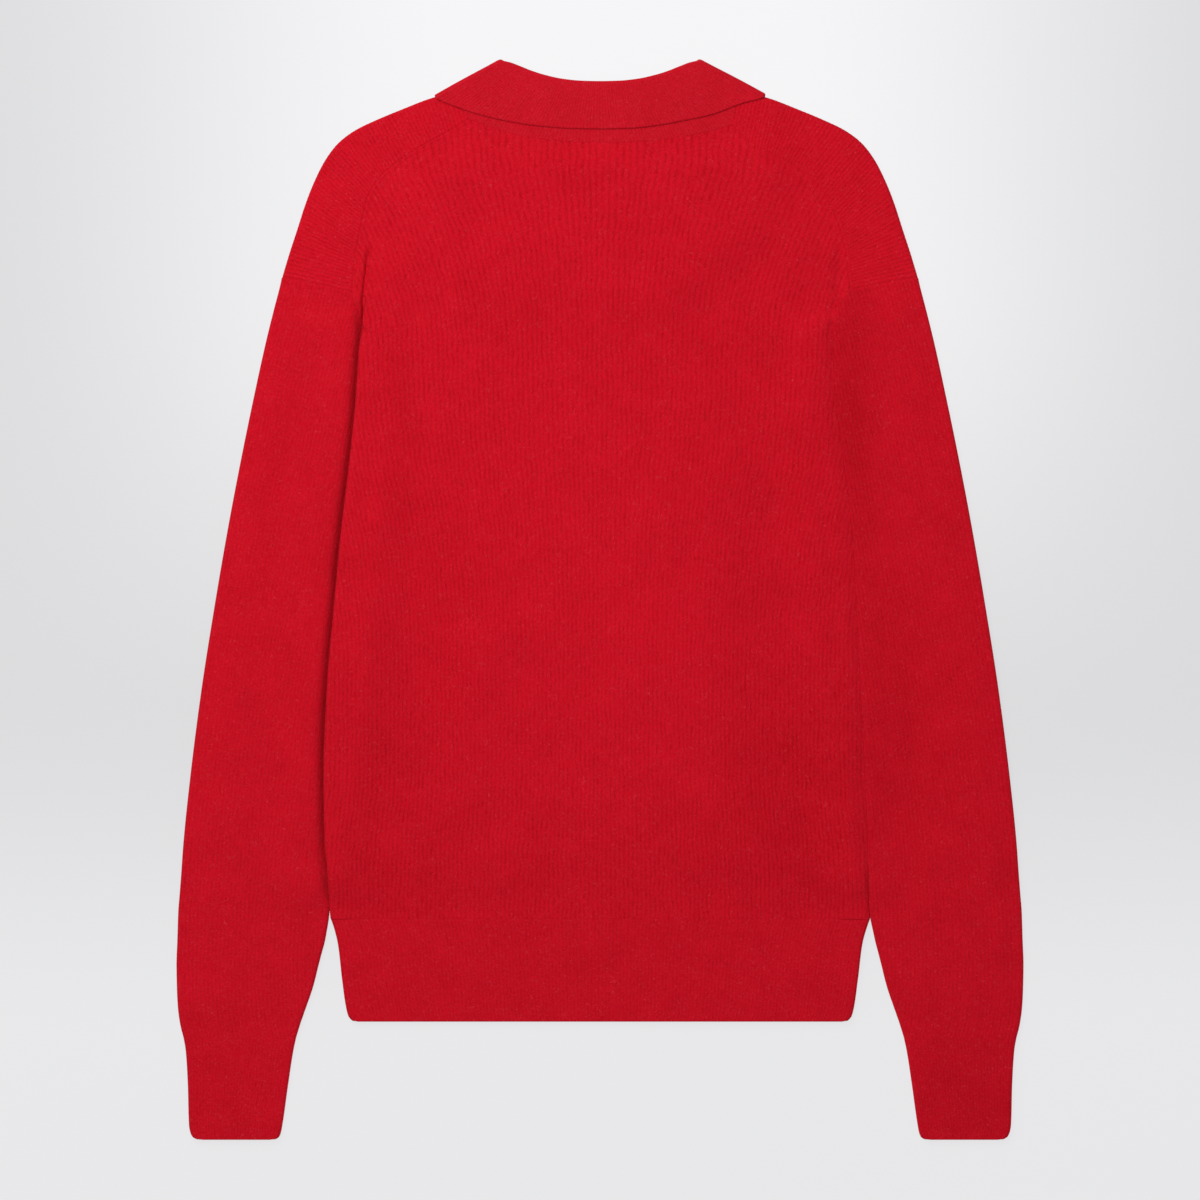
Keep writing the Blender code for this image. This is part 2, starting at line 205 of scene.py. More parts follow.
@dataclass(frozen=True)
class KnitFinish:
    """Brushed red knit: soft broken wales with painted light on their ridges and painted shade in their
    furrows, mottled wool, loose fibres whose pale colour is painted sheen, and painted shade in creases'
    troughs.

    The first coordinate of the map named KNIT_UV counts wales and the second counts courses. The scales of
    the noises are in cells for each metre.
    """

    name: str
    slot: Slot
    light: tuple[float, float, float] = (0.790, 0.0070, 0.0240)
    dark: tuple[float, float, float] = (0.330, 0.0002, 0.0030)
    # Painted light and shade across each wale, and painted shade in broken dashes along the furrows
    wale_shading: float = 0.07
    furrow_shade: float = 0.15
    dash_scale: float = 1.7
    dash_stretch: float = 0.2
    grain_contrast: float = 0.50
    grain_scale: float = 620.0
    fibre_contrast: float = 0.60
    fibre_scale: float = 1500.0
    patch_contrast: float = 0.22
    patch_scale: float = 48.0
    # Pale colour of the loose fibres: painted sheen on real fibres
    hair_sheen: tuple[float, float, float] = (0.86, 0.110, 0.140)
    hair_cover: float = 0.18
    hair_scale: float = 260.0
    hair_width: float = 0.016
    wander: float = 0.14
    bump: float = 0.4
    bump_height: float = 0.0004
    roughness: float = 0.82
    fuzz: float = 0.08
    fuzz_tint: tuple[float, float, float, float] = (1.0, 0.16, 0.20, 1.0)
    # Painted shade: how much the colour darkens in the troughs of creases
    fold_shade: float = 0.34
    tone_patch: tuple[TonePatch, ...] = ()

    def material(self) -> bpy.types.Material:
        """Gives the finish as a procedural material, built when it is first asked for."""
        return bpy.data.materials.get(self.name) or self.new_material()

    def new_material(self) -> bpy.types.Material:
        """Builds the material.

        Returns:
            The material.
        """
        made = bpy.data.materials.new(self.name)
        made.use_nodes = True
        nodes = NodeMaker(made.node_tree)

        place = nodes.add("ShaderNodeTexCoord").outputs["Object"]
        wales, courses = nodes.knit_coordinates(place, self.wander)
        wale = nodes.wave(wales)
        stitches = nodes.together(wales, nodes.maths("MULTIPLY", courses, self.dash_stretch))
        dashes = nodes.noise(stitches, self.dash_scale, 1.0, 0.5)
        grain = nodes.noise(place, self.grain_scale, 2.0, 0.6)
        fibres = nodes.noise(place, self.fibre_scale, 2.0, 0.6)
        patches = nodes.noise(place, self.patch_scale, 2.0, 0.5)
        hairs = nodes.hairs(place, self.hair_scale, self.hair_width)

        # Painted light and shade: ridges lighter, furrows darker with broken dashes of painted shade; the
        # dashes also dip the bump
        furrow = nodes.maths("SUBTRACT", 0.5, nodes.maths("MULTIPLY", wale, 0.5))
        shown = nodes.around(dashes, 3.6, 0.6)
        shown = nodes.maths("MINIMUM", nodes.maths("MAXIMUM", shown, 0.0), 1.3)
        furrow_dip_and_shade = nodes.maths("MULTIPLY", nodes.maths("MULTIPLY", furrow, furrow), shown)
        shade = nodes.maths("MULTIPLY_ADD", wale, 0.5 * self.wale_shading, 0.5 + 0.22 * self.furrow_shade)
        shade = nodes.maths("MULTIPLY_ADD", furrow_dip_and_shade, -self.furrow_shade, shade)
        shade = nodes.around(grain, self.grain_contrast, shade)
        shade = nodes.around(fibres, self.fibre_contrast, shade)
        shade = nodes.around(patches, self.patch_contrast, shade)
        # Broad ovals: painted shade and light on the body, a painted shadow on the right sleeve, a darker
        # patch on the right cuff
        for tone_patch in self.tone_patch:
            shade = nodes.maths("MULTIPLY_ADD", nodes.blot(place, tone_patch), tone_patch.shade, shade)
        # Painted shade: the colour darkens in the troughs under folds that lean over them, where shade falls
        crease_shade = nodes.add("ShaderNodeAttribute", attribute_name=CREASE_SHADE_ATTRIBUTE).outputs["Fac"]
        shade = nodes.maths("MULTIPLY_ADD", crease_shade, -self.fold_shade, shade)
        colour = nodes.blend(shade, self.dark, self.light)
        # Loose fibres as pale lines: the fibres are real, their pale colour is painted sheen
        colour = nodes.cover(colour, self.hair_sheen, nodes.maths("MULTIPLY", hairs, self.hair_cover))

        relief = nodes.maths("MULTIPLY_ADD", furrow_dip_and_shade, -0.6, 0.0)
        relief = nodes.around(grain, 1.6, relief)
        relief = nodes.around(fibres, 1.0, relief)
        relief = nodes.maths("MULTIPLY_ADD", hairs, 0.4, relief)
        inputs = {"Strength": self.bump, "Distance": self.bump_height, "Height": relief}
        bump = nodes.add("ShaderNodeBump", inputs)
        nodes.feed(nodes.tree.nodes["Principled BSDF"], {
            "Base Color": colour,
            "Normal": bump.outputs["Normal"],
            "Roughness": nodes.maths("MULTIPLY_ADD", fibres, 0.16, self.roughness),
            "Specular IOR Level": 0.05,
            "Sheen Weight": self.fuzz,
            "Sheen Roughness": 0.55,
            "Sheen Tint": self.fuzz_tint,
        })
        return made


@dataclass
class NodeMaker:
    """Adds nodes to one tree and links them."""

    tree: bpy.types.NodeTree

    def feed(self, node: bpy.types.Node, inputs: dict) -> None:
        """Links or sets inputs of a node.

        Args:
            node: The node.
            inputs: What each input gets, by its name or number: an output to link, a number or a tuple.
        """
        for name, value in inputs.items():
            if isinstance(value, Socket):
                self.tree.links.new(value, node.inputs[name])
            else:
                node.inputs[name].default_value = value

    def add(self, kind: str, inputs: dict | None = None, **settings: str) -> bpy.types.Node:
        """Adds a node.

        Args:
            kind: Blender's name of its kind.
            inputs: What its inputs get.
            **settings: Its other properties.

        Returns:
            The node.
        """
        node = self.tree.nodes.new(kind)
        for name, value in settings.items():
            setattr(node, name, value)
        self.feed(node, inputs or {})
        return node

    def maths(self, operation: str, *values: object) -> Socket:
        """Adds a math node with Blender's name of the operation and its inputs in order."""
        return self.add("ShaderNodeMath", dict(enumerate(values)), operation=operation).outputs[0]

    def noise(self, place: Socket, scale: float, detail: float, rough: float, bend: float = 0.0) -> Socket:
        """Adds a noise texture, about 0.5 on average; rough is the strength of its finer layers."""
        inputs = {"Vector": place, "Scale": scale, "Detail": detail, "Roughness": rough, "Distortion": bend}
        return self.add("ShaderNodeTexNoise", inputs).outputs[0]

    def hairs(self, place: Socket, scale: float, width: float) -> Socket:
        """Thin curling lines, where a bent noise crosses its middle value.

        Args:
            place: Coordinates that it is read at.
            scale: Its scale, in cells for each metre.
            width: Half the width of a line, as a share of the noise's range.

        Returns:
            1 on the lines and 0 between them.
        """
        bent = self.noise(place, scale, 1.0, 0.5, 1.6)
        away = self.maths("ABSOLUTE", self.maths("SUBTRACT", bent, 0.5))
        return self.maths("MAXIMUM", self.maths("MULTIPLY_ADD", away, -1.0 / width, 1.0), 0.0)

    def ease(self, value: Socket, start: float, end: float) -> Socket:
        """Rises smoothly from 0 to 1 while the value goes from the start to the end."""
        inputs = {"Value": value, "From Min": start, "From Max": end}
        return self.add("ShaderNodeMapRange", inputs, interpolation_type="SMOOTHSTEP").outputs[0]

    def apart(self, place: Socket) -> bpy.types.bpy_prop_collection:
        """Splits a place into its coordinates."""
        return self.add("ShaderNodeSeparateXYZ", {0: place}).outputs

    def blot(self, place: Socket, tone_patch: TonePatch) -> Socket:
        """A soft oval.

        Args:
            place: Coordinates that it is read at.
            tone_patch: Its middle and size.

        Returns:
            1 in its middle and 0 outside it.
        """
        parts = self.apart(place)
        across = self.maths("MULTIPLY_ADD", parts["X"], 1.0 / tone_patch.half_width, -tone_patch.x / tone_patch.half_width)
        along = self.maths("MULTIPLY_ADD", parts["Y"], 1.0 / tone_patch.half_height, -tone_patch.y / tone_patch.half_height)
        square = self.maths("MULTIPLY_ADD", across, across, self.maths("MULTIPLY", along, along))
        return self.ease(self.maths("SQRT", square), 1.0, 0.0)

    def cover(self, colour: Socket, other: Sequence[float], share: Socket) -> Socket:
        """Covers a share of one colour with another."""
        inputs = {"Fac": share, "Color1": colour, "Color2": (*other, 1.0)}
        return self.add("ShaderNodeMixRGB", inputs).outputs["Color"]

    def together(self, across: Socket, along: Socket) -> Socket:
        """Joins two coordinates into one place."""
        return self.add("ShaderNodeCombineXYZ", {0: across, 1: along}).outputs[0]

    def around(self, value: Socket, amount: float, base: object) -> Socket:
        """Adds amount times the value, counted from 0.5, to a base."""
        return self.maths("MULTIPLY_ADD", self.maths("SUBTRACT", value, 0.5), amount, base)

    def wave(self, value: Socket) -> Socket:
        """A cosine that is highest at each whole number."""
        return self.maths("COSINE", self.maths("MULTIPLY", value, 2.0 * math.pi))

    def knit_coordinates(self, place: Socket, wander: float) -> tuple:
        """Reads the knit's map and lets it wander a little, as brushed stitches do.

        Args:
            place: Coordinates of the surface.
            wander: How far the wales wander, as a share of their spacing.

        Returns:
            The count of wales and the count of courses.
        """
        knit = self.apart(self.add("ShaderNodeUVMap", uv_map=KNIT_UV).outputs["UV"])
        drift = self.noise(place, 160.0, 2.0, 0.5)
        return self.around(drift, 4.0 * wander, knit["X"]), self.around(drift, 9.0 * wander, knit["Y"])

    def blend(self, factor: Socket, low: Sequence[float], high: Sequence[float]) -> Socket:
        """Blends two colours.

        Args:
            factor: 0 gives the first and 1 the second.
            low: First colour, linear.
            high: Second colour, linear.

        Returns:
            The blended colour.
        """
        ramp = self.add("ShaderNodeValToRGB", {"Fac": factor})
        for element, colour in zip(ramp.color_ramp.elements, (low, high)):
            element.color = (*colour, 1.0)
        return ramp.outputs["Color"]


def add_object(name: str, data: bpy.types.ID) -> bpy.types.Object:
    """Adds an object to the scene.

    Args:
        name: Its name.
        data: Its mesh, camera or light.

    Returns:
        The object.
    """
    made = bpy.data.objects.new(name, data)
    bpy.context.scene.collection.objects.link(made)
    return made


# Cloth


@dataclass
class Shell:
    """A closed wall of knit. Rows and columns of points give its outer face, seen from outside with the
    columns running to the right and the rows upwards."""

    name: str
    points: Array
    relief: Array
    wales: Array
    courses: Array
    inner_rows: Array
    inner_columns: Array
    wall: float | Array
    closed: bool = False
    # Painted shade in the creases' troughs, from 0 to 1, for the outer face's points
    painted_crease_shade: Array | None = None

    def normals(self) -> Array:
        """Directions away from the outer face.

        Returns:
            A unit vector for each point.
        """
        if self.closed:
            across = np.roll(self.points, -1, axis=1) - np.roll(self.points, 1, axis=1)
        else:
            across = np.gradient(self.points, axis=1)
        along = np.gradient(self.points, axis=0)
        return unit(np.cross(across, along))

    def build(self, finish: KnitFinish, node: str) -> bpy.types.Object:
        """Makes the shell as an object, in place of its CAD solid.

        Args:
            finish: What it is made of.
            node: The CAD solid that it stands for.

        Returns:
            The object.
        """
        rows, columns = self.points.shape[:2]
        away = self.normals()
        outer = (self.points + away * self.relief[..., None]).reshape(-1, 3)
        inner = (self.points - away * self.wall)[np.ix_(self.inner_rows, self.inner_columns)].reshape(-1, 3)
        vertices = np.concatenate([outer, inner]) * MM
        faces, corners, flat = self.faces(rows, columns)

        mesh = bpy.data.meshes.new(self.name)
        mesh.from_pydata(vertices.tolist(), [], faces)
        mesh.uv_layers.new(name=KNIT_UV).data.foreach_set("uv", corners.ravel())
        mesh.polygons.foreach_set("use_smooth", np.arange(len(faces)) < flat)
        self.sharpen(mesh, flat)
        # Painted shade for the creases' troughs, kept on the points for the material to darken the colour
        if self.painted_crease_shade is not None:
            depth = np.zeros(len(vertices))
            depth[:len(outer)] = self.painted_crease_shade.ravel()
            mesh.attributes.new(CREASE_SHADE_ATTRIBUTE, "FLOAT", "POINT").data.foreach_set("value", depth)
        mesh.materials.append(finish.material())
        mesh.update()
        piece = add_object(self.name, mesh)
        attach(piece, "root")
        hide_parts(node)
        log.info("%s: %d faces", self.name, len(faces))
        return piece

    def sharpen(self, mesh: bpy.types.Mesh, flat: int) -> None:
        """Marks the edges of the rims as sharp, so that the rims don't darken the faces beside them.

        Args:
            mesh: The shell's mesh.
            flat: Number of faces before the rims; all of these have four corners.
        """
        edges = np.empty(len(mesh.loops), int)
        mesh.loops.foreach_get("edge_index", edges)
        sharp = np.zeros(len(mesh.edges), bool)
        sharp[edges[4 * flat:]] = True
        mesh.edges.foreach_set("use_edge_sharp", sharp)

    def faces(self, rows: int, columns: int) -> tuple[list, Array, int]:
        """The outer and inner faces and the rims between them.

        Args:
            rows: Rows of the outer face.
            columns: Columns of the outer face.

        Returns:
            The faces, the knit coordinates of their corners, and the number of faces before the rims.
        """
        in_rows, in_cols = list(self.inner_rows), list(self.inner_columns)
        turns = in_cols + [columns] if self.closed else in_cols
        last_row, last_turn = len(in_rows) - 1, len(turns) - 1
        across = range(columns if self.closed else columns - 1)
        rings = []
        for r in range(rows - 1):
            rings += [([(r, c), (r, c + 1), (r + 1, c + 1), (r + 1, c)], []) for c in across]
        for r in range(last_row):
            rings += [([], [(r, c), (r + 1, c), (r + 1, c + 1), (r, c + 1)]) for c in range(last_turn)]
        flat = len(rings)

        for r, end in ((0, 0), (last_row, rows - 1)):
            for c in range(last_turn):
                ring = [(end, at) for at in range(turns[c], turns[c + 1] + 1)], [(r, c + 1), (r, c)]
                rings.append(ring if end else tuple(part[::-1] for part in ring))
        for c, end in () if self.closed else ((0, 0), (last_turn, columns - 1)):
            for r in range(last_row):
                ring = [(at, end) for at in range(in_rows[r], in_rows[r + 1] + 1)], [(r + 1, c), (r, c)]
                rings.append(tuple(part[::-1] for part in ring) if end else ring)

        faces, places = [], []
        width, offset = len(in_cols), rows * columns
        for outer, inner in rings:
            face = [r * columns + c % columns for r, c in outer]
            faces.append(face + [offset + r * width + c % width for r, c in inner])
            places += outer + [(in_rows[r], turns[c]) for r, c in inner]
        at = tuple(np.array(places).T)
        return faces, np.stack([self.wales[at], self.courses[at]], axis=1), flat


def spread(count: int, cells: int) -> Array:
    """Whole numbers from 0 to the last of count, about evenly spread."""
    return np.unique(np.round(np.linspace(0, count - 1, cells + 1)).astype(int))


@dataclass(frozen=True)
class Cloth:
    """Thickness of the knit and the air between its layers."""

    wall: float = 2.4
    air: float = 0.6
    fold_air: float = 1.2
    layer_gap: float = 0.3
    leaf_air: float = 0.6

    @property
    def tube_fold(self) -> float:
        """Radius of a flattened tube's folds."""
        return self.wall + self.air / 2


CLOTH = Cloth()


class Side(NamedTuple):
    """The body below the armholes: its two edges at one height, and how far they ride up over the
    sleeves."""

    y: float
    left: float
    right: float
    lift: float


SIDES = tuple(Side(*row) for row in (
    (-229.8, -193.8, 194.4, 0), (-221, -194.8, 193.6, 0.6), (-210, -195.3, 193, 3.2),
    (-196, -196, 192.6, 5.8), (-175, -198, 192.2, 6), (-125, -198.8, 190.2, 6), (-65, -196.5, 187.3, 6),
    (-5, -191.4, 184.3, 6), (50, -186.2, 180.8, 6), (100, -180.2, 174.8, 6), (145, -175.7, 169, 6),
    (178, -173.5, 167.6, 6), (194.5, -171.9, 167.6, 5.6), (207, -173.8, 171.6, 3),
))


class Armhole(NamedTuple):
    """One point of both armhole seams, from the underarm up to the neck, the heights at which its row of
    stitches crosses the middle of the back and of the front, and the point of the shoulder's fold that its
    wale runs to."""

    left_x: float
    left_y: float
    right_x: float
    right_y: float
    back: float
    front: float
    fold_x: float
    fold_y: float


ARMHOLES = tuple(Armhole(*row) for row in (
    (-178.4, 221.2, 180.2, 223, 218, 210, 228.8, 232), (-177, 236, 178.6, 237, 232, 215, 223.3, 250.2),
    (-176.1, 248.3, 177.5, 248.3, 246, 218.5, 217.7, 267.3),
    (-173.7, 260, 175.4, 259, 258, 222.5, 211.9, 285.3),
    (-171, 274, 171.9, 270.6, 270, 226.5, 205.3, 301.9),
    (-167.5, 287.9, 166.6, 284.1, 283, 230, 197.2, 317.5),
    (-163, 297.7, 160.4, 295.3, 294, 232, 188.4, 328.8),
    (-156, 306.6, 150.8, 305.4, 302, 233.5, 176.8, 337.7),
    (-144.1, 316, 139.5, 312.8, 308.5, 236, 160.7, 345.6), (-128, 326.5, 127, 319, 316, 238.5, 142, 353.3),
    (-112.4, 334.9, 113, 326, 322, 240.5, 121.5, 361), (-94, 346, 94.5, 341.8, 329.4, 243, 99.8, 366.6),
))


class Tube(NamedTuple):
    """The outer and inner fold of one section of a flattened tube."""

    outer_x: float
    outer_y: float
    inner_x: float
    inner_y: float
    tuck: float = 0.0


SLEEVE = tuple(Tube(*row) for row in (
    (228.8, 231.9, 178.6, 221.1), (230.6, 224.6, 173, 213.6, 1.4), (232.8, 216.2, 170, 204.6, 4),
    (235.2, 207, 168, 194.5, 9.5), (240.6, 185, 160.5, 178, 14.5), (248.4, 149.5, 156, 145, 16.5),
    (258.1, 102.5, 158, 100, 18.5), (267.8, 51.5, 163, 50, 19.5), (277.5, -5, 168, -5, 19.5),
    (286.9, -65, 174, -65, 16.5), (294.8, -126.5, 180, -125, 12), (300, -177, 187, -175, 6),
    (301.5, -198.5, 192.2, -196, 0.6), (302.6, -212.5, 194.2, -210, 0.5), (303.5, -223.5, 195, -221, 0.3),
    (304.2, -245, 197.2, -242), (304.8, -262, 201.8, -260), (304.5, -280, 206.6, -279),
    (303.8, -293, 211.4, -293), (302.2, -305, 215.6, -305), (299.8, -314.75, 218.6, -314.75),
))


# How high a sleeve's upper layer lies, by its distance from the body's edge, which lies over it
LEFT_BED = (
    (-30, -1.6), (-3, -2.6), (-1, -2.6), (0.6, -1.6), (2.4, 1), (4.4, 3.2), (7, 4.6), (11, 5.3), (16, 5.3),
    (28, 3.6), (46, 1.7),
)
RIGHT_BED = (
    (-30, 0), (-5, 0), (-1.6, 3.1), (0, 3.45), (10, 2.4), (20, 1.4), (32, 1.3), (46, 1.7),
)
CUFF = tuple(Tube(*row) for row in (
    (299.8, -314.6, 218.6, -314.6), (298.2, -324, 220.6, -324), (296.6, -350, 224.6, -350),
    (295.8, -378, 228.6, -378), (294.6, -384, 229.8, -384), (292.4, -387.2, 231.6, -387.2),
    (289, -388.4, 234.6, -388.4),
))
HEM = tuple(Tube(*row) for row in (
    (194.3, -229.6, -193.7, -229.6), (193, -233, -192.4, -233), (188.8, -248, -188.6, -248),
    (185.8, -272, -185.8, -272), (182.2, -296, -182.2, -296), (180.6, -300.6, -180.6, -300.6),
    (177.4, -303.4, -177.4, -303.4),
))


class Station(NamedTuple):
    """One section of the collar's left half, from its front end round the neck to the middle of the back.
    turn is how far it has turned about the neck. The stand is sewn on at base, folds over at fold, and the
    leaf ends at edge."""

    turn: float
    base_x: float
    base_y: float
    fold_x: float
    fold_y: float
    edge_x: float
    edge_y: float


COLLAR = tuple(Station(*row) for row in (
    (180, -7.5, 249.6, -5.5, 257.5, -50, 230), (180, -32.5, 273.5, -21.5, 279, -68, 243),
    (180, -57, 300.1, -38.5, 301, -87, 264), (180, -77, 323.2, -53, 324, -103.5, 290),
    (180, -90.5, 339.5, -63, 348, -113.5, 320), (180, -97.5, 356, -69, 370, -116, 344),
    (180, -99, 363.5, -69.6, 384.6, -116.6, 358.4), (0, -99, 363.5, -68.9, 387.6, -117.4, 360.2),
    (0, -97.5, 356, -64.8, 386.7, -109.6, 356.8), (0, -94.2, 347.4, -57.5, 384, -99, 352.8),
    (0, -80, 340.6, -49, 380.6, -83, 347.9), (0, -64, 336.7, -39, 377.5, -64, 343.6),
    (0, -44, 333, -27, 374.9, -43, 340.6), (0, -22, 330.5, -13.5, 373.5, -21.5, 339),
    (0, 0, 329.7, 0, 373.2, 0, 338.6),
))


class Crease(NamedTuple):
    """A soft line pressed into the body's upper layer. Its head fades in, and so does its foot unless it
    runs into a side fold. Its width is given on the side of the body's middle and on the outer side. The
    cloth on the middle's side swells by lip, lies higher by step and leans outwards over the line by
    overhang. On the outer side it rises by roll before it dips."""

    chain: tuple[tuple[float, float], ...]
    inner_width: float
    outer_width: float
    depth: float
    lip: float = 0.0
    open_foot: bool = False
    step: float = 0.0
    overhang: float = 0.0
    roll: float = 0.0


CREASES = (
    Crease(
        ((-165.6, 260), (-165.2, 252), (-165.2, 243.7), (-165.3, 234), (-167, 221.2), (-168.6, 207.7),
         (-170.6, 194)),
        inner_width=1.2, outer_width=3, depth=4.2, lip=0.3, open_foot=True, step=3, overhang=3.8, roll=2.8,
    ),
    Crease(
        ((174, 268), (172.6, 246), (172.2, 231), (171.6, 206), (170, 192)),
        inner_width=5, outer_width=4, depth=1.5, lip=0.2, open_foot=True,
    ),
    Crease(((88, 40), (118, -40), (140, -130), (152, -205)), 24, 24, 3.4, 1.6),
    Crease(((-110, 20), (-135, -80), (-146, -200)), 22, 22, 2.2, 1),
    Crease(((-60, 300), (-100, 280), (-138, 240)), 17, 17, 0.9),
    Crease(((64, 300), (104, 270), (140, 226)), 19, 19, 0.8),
    Crease(((-176, -210), (-170, -262), (-168, -300)), 14, 14, 0.8),
)


def side_edges(y: Array) -> tuple[Array, Array]:
    """Where the body's left and right side folds are at a height."""
    heights = column(SIDES, "y")
    return through(y, heights, column(SIDES, "left")), through(y, heights, column(SIDES, "right"))


BACK_BEND = 2.4
FRONT_BEND = 1.15


def back_neck(x: Array) -> Array:
    """Height of the back panel's neck edge.

    Args:
        x: Places across the neck.

    Returns:
        The edge's height at each.
    """
    neck = ARMHOLES[-1]
    across = 2.0 * (x - neck.left_x) / (neck.right_x - neck.left_x) - 1.0
    end = np.where(across < 0.0, neck.left_y, neck.right_y)
    return neck.back + (end - neck.back) * np.abs(across) ** BACK_BEND


@dataclass(frozen=True)
class Lie:
    """How the layers lie on each other."""

    slope_start: float = 3.5
    sleeve_slope: float = 34.0
    collar_slope: float = 34.0
    puff: float = 3.4
    puff_reach: float = 60.0
    full_lift: float = 6.0
    step_at: float = 2.6
    step_rise: float = 1.3
    step_reach: float = 22.0
    lean_reach: float = 2.1
    # Reach and end of the painted shade in a crease's trough
    crease_shade_reach: float = 5.4
    crease_shade_end: float = 1.4
    roll_at: float = 5.2
    roll_reach: float = 2.7
    foot_fade: float = 0.1
    tucks: tuple = ((-200.0, 0.6), (-175.0, 6.0), (-65.0, 16.5), (50.0, 19.5), (178.0, 7.5), (200.0, 3.6))

    def sleeve_lift(self, x: Array, y: Array) -> Array:
        """How far the tucked sleeves raise the body.

        Args:
            x: Places on the body.
            y: Places on the body.

        Returns:
            The lift at each place.
        """
        left, right = side_edges(y)
        heights = np.append(column(SIDES, "y"), ARMHOLES[0].right_y)
        lift = through(y, heights, np.append(column(SIDES, "lift"), 0.0))
        tuck = through(y, *zip(*self.tucks))
        inside = np.minimum(x - left, right - x)
        return lift * smooth_step(1.0 - (inside - tuck - self.slope_start) / self.sleeve_slope)

    def leaf_lift(self, x: Array, y: Array) -> Array:
        """How far the front half of the collar's leaf raises the cloth that lies on it.

        Args:
            x: Places on the garment.
            y: Places on the garment.

        Returns:
            The lift at each place.
        """
        left = [(station.edge_x, station.edge_y) for station in COLLAR if station.turn > 90.0]
        outline = np.array(left + [(-edge_x, edge_y) for edge_x, edge_y in left[::-1]] + left[:1])
        nearest, _, _ = distance_to_chain(x, y, outline)
        inside = np.zeros(np.shape(x), bool)
        for start, end in zip(outline[:-1], outline[1:]):
            if start[1] != end[1]:
                crossing = start[0] + (y - start[1]) * (end[0] - start[0]) / (end[1] - start[1])
                inside ^= ((start[1] > y) != (end[1] > y)) & (x < crossing)
        outside = np.where(inside, 0.0, nearest)
        full = CLOTH.wall + CLOTH.leaf_air
        return full * smooth_step(1.0 - (outside - self.slope_start) / self.collar_slope)

    def lift(self, x: Array, y: Array) -> Array:
        """How far all that lies under the body raises it."""
        return np.maximum(self.sleeve_lift(x, y), self.leaf_lift(x, y))

    def creases(self, x: Array, y: Array) -> tuple[Array, Array, Array]:
        """Height of the creases, negative in their troughs, and how far the cloth leans over them.

        Args:
            x: Places on the body.
            y: Places on the body.

        Returns:
            The height to add to the upper layer, the distance to move it across, and a painted shade from 0
            to 1, strongest in the trough under a fold that leans over it, which darkens the colour there.
        """
        total, lean, crease_shade = np.zeros(np.shape(x)), np.zeros(np.shape(x)), np.zeros(np.shape(x))
        for crease in CREASES:
            away, side, share = distance_to_chain(x, y, np.array(crease.chain))
            ends = smooth_step(share / 0.4)
            if not crease.open_foot:
                ends = ends * smooth_step((1.0 - share) / 0.3)
            inwards = -side if crease.chain[0][0] < 0.0 else side
            width = np.where(inwards > 0.0, crease.inner_width, crease.outer_width)
            swell = np.exp(-((inwards * away / width - 2.1) ** 2) / 1.1) * (inwards > 0.0)
            total += ends * (crease.lip * swell - crease.depth * bell(away / width))
            reach = inwards * away - self.step_at
            rise = bell(reach / np.where(reach > 0.0, self.step_reach, self.step_rise))
            total += ends * crease.step * rise * (1.0 - self.sleeve_lift(x, y) / self.full_lift)
            foot = ends * smooth_step((1.0 - share) / self.foot_fade)
            total += foot * crease.roll * bell((inwards * away + self.roll_at) / self.roll_reach)
            outwards = math.copysign(crease.overhang, crease.chain[0][0])
            lean += foot * outwards * bell(reach / self.lean_reach)
            if crease.overhang > 0.0:
                # Painted shade in the trough under the leaning fold, fading away from the line
                crease_shade += ends * bell(away / self.crease_shade_reach) * (inwards * away < self.crease_shade_end)
        return total, lean, crease_shade

    def air(self, x: Array, y: Array, from_edge: Array) -> Array:
        """Air between the body's two panels.

        Args:
            x: Places on the body.
            y: Places on the body.
            from_edge: Their distance from the nearest edge of the panel.

        Returns:
            The air at each place.
        """
        puff = self.puff * smooth_step(from_edge / self.puff_reach)
        puff = puff + 0.35 * uneven(x, y, 70.0, 3) * smooth_step(from_edge / 30.0)
        return CLOTH.air + np.maximum(puff, 0.0)


LIE = Lie()


# Distance between the body's wales by height: wide at the yoke, where the knit is stretched
PITCHES = (
    (-240, 3.17), (-190, 3.15), (-120, 3.05), (-40, 3.05), (35, 3.17), (108, 3.46), (145, 3.55), (200, 3.62),
    (235, 3.85), (266, 4.18), (288, 4.5), (310, 4.85), (340, 5),
)


@dataclass(frozen=True)
class Knit:
    """Size of the ridges and of the beads along the seams."""

    ridge: float = 0.13
    course: float = 2.7
    rib_course: float = 2.1
    bead: float = 0.24
    bead_at: float = 1.5
    bead_width: float = 0.8
    groove: float = 0.26
    groove_width: float = 0.7

    def ridges(self, wales: Array) -> Array:
        """Height of the wales, never above the cloth's outer face."""
        return -0.5 * self.ridge * (1.0 - np.cos(2.0 * math.pi * wales))

    def shown(self, x: Array, y: Array) -> Array:
        """How much of the wales shows through the brushed fibres: less below the chest, and in patches."""
        low = 0.5 + 0.5 * smooth_step((y + 90.0) / 190.0)
        return low * np.clip(0.72 + 0.3 * uneven(x, y, 15.0, 21) + 0.2 * uneven(x, y, 55.0, 22), 0.1, 1.15)

    def seam(self, away: Array) -> Array:
        """Profile of the cloth near a sewn edge: a groove at the seam and a bead beside it."""
        bead = self.bead * bell((away - self.bead_at) / self.bead_width)
        return bead - self.groove * bell(away / self.groove_width)

    def rim(self, away: Array, radius: float = 1.1) -> Array:
        """Profile of the cloth near a free edge, which is round."""
        near = np.clip(1.0 - away / radius, 0.0, 1.0)
        return radius * (np.sqrt(1.0 - near * near) - 1.0)


KNIT = Knit()
EDGE_STEPS = np.array([0.0, 0.12, 0.35, 0.7, 1.1, 1.7, 2.4])


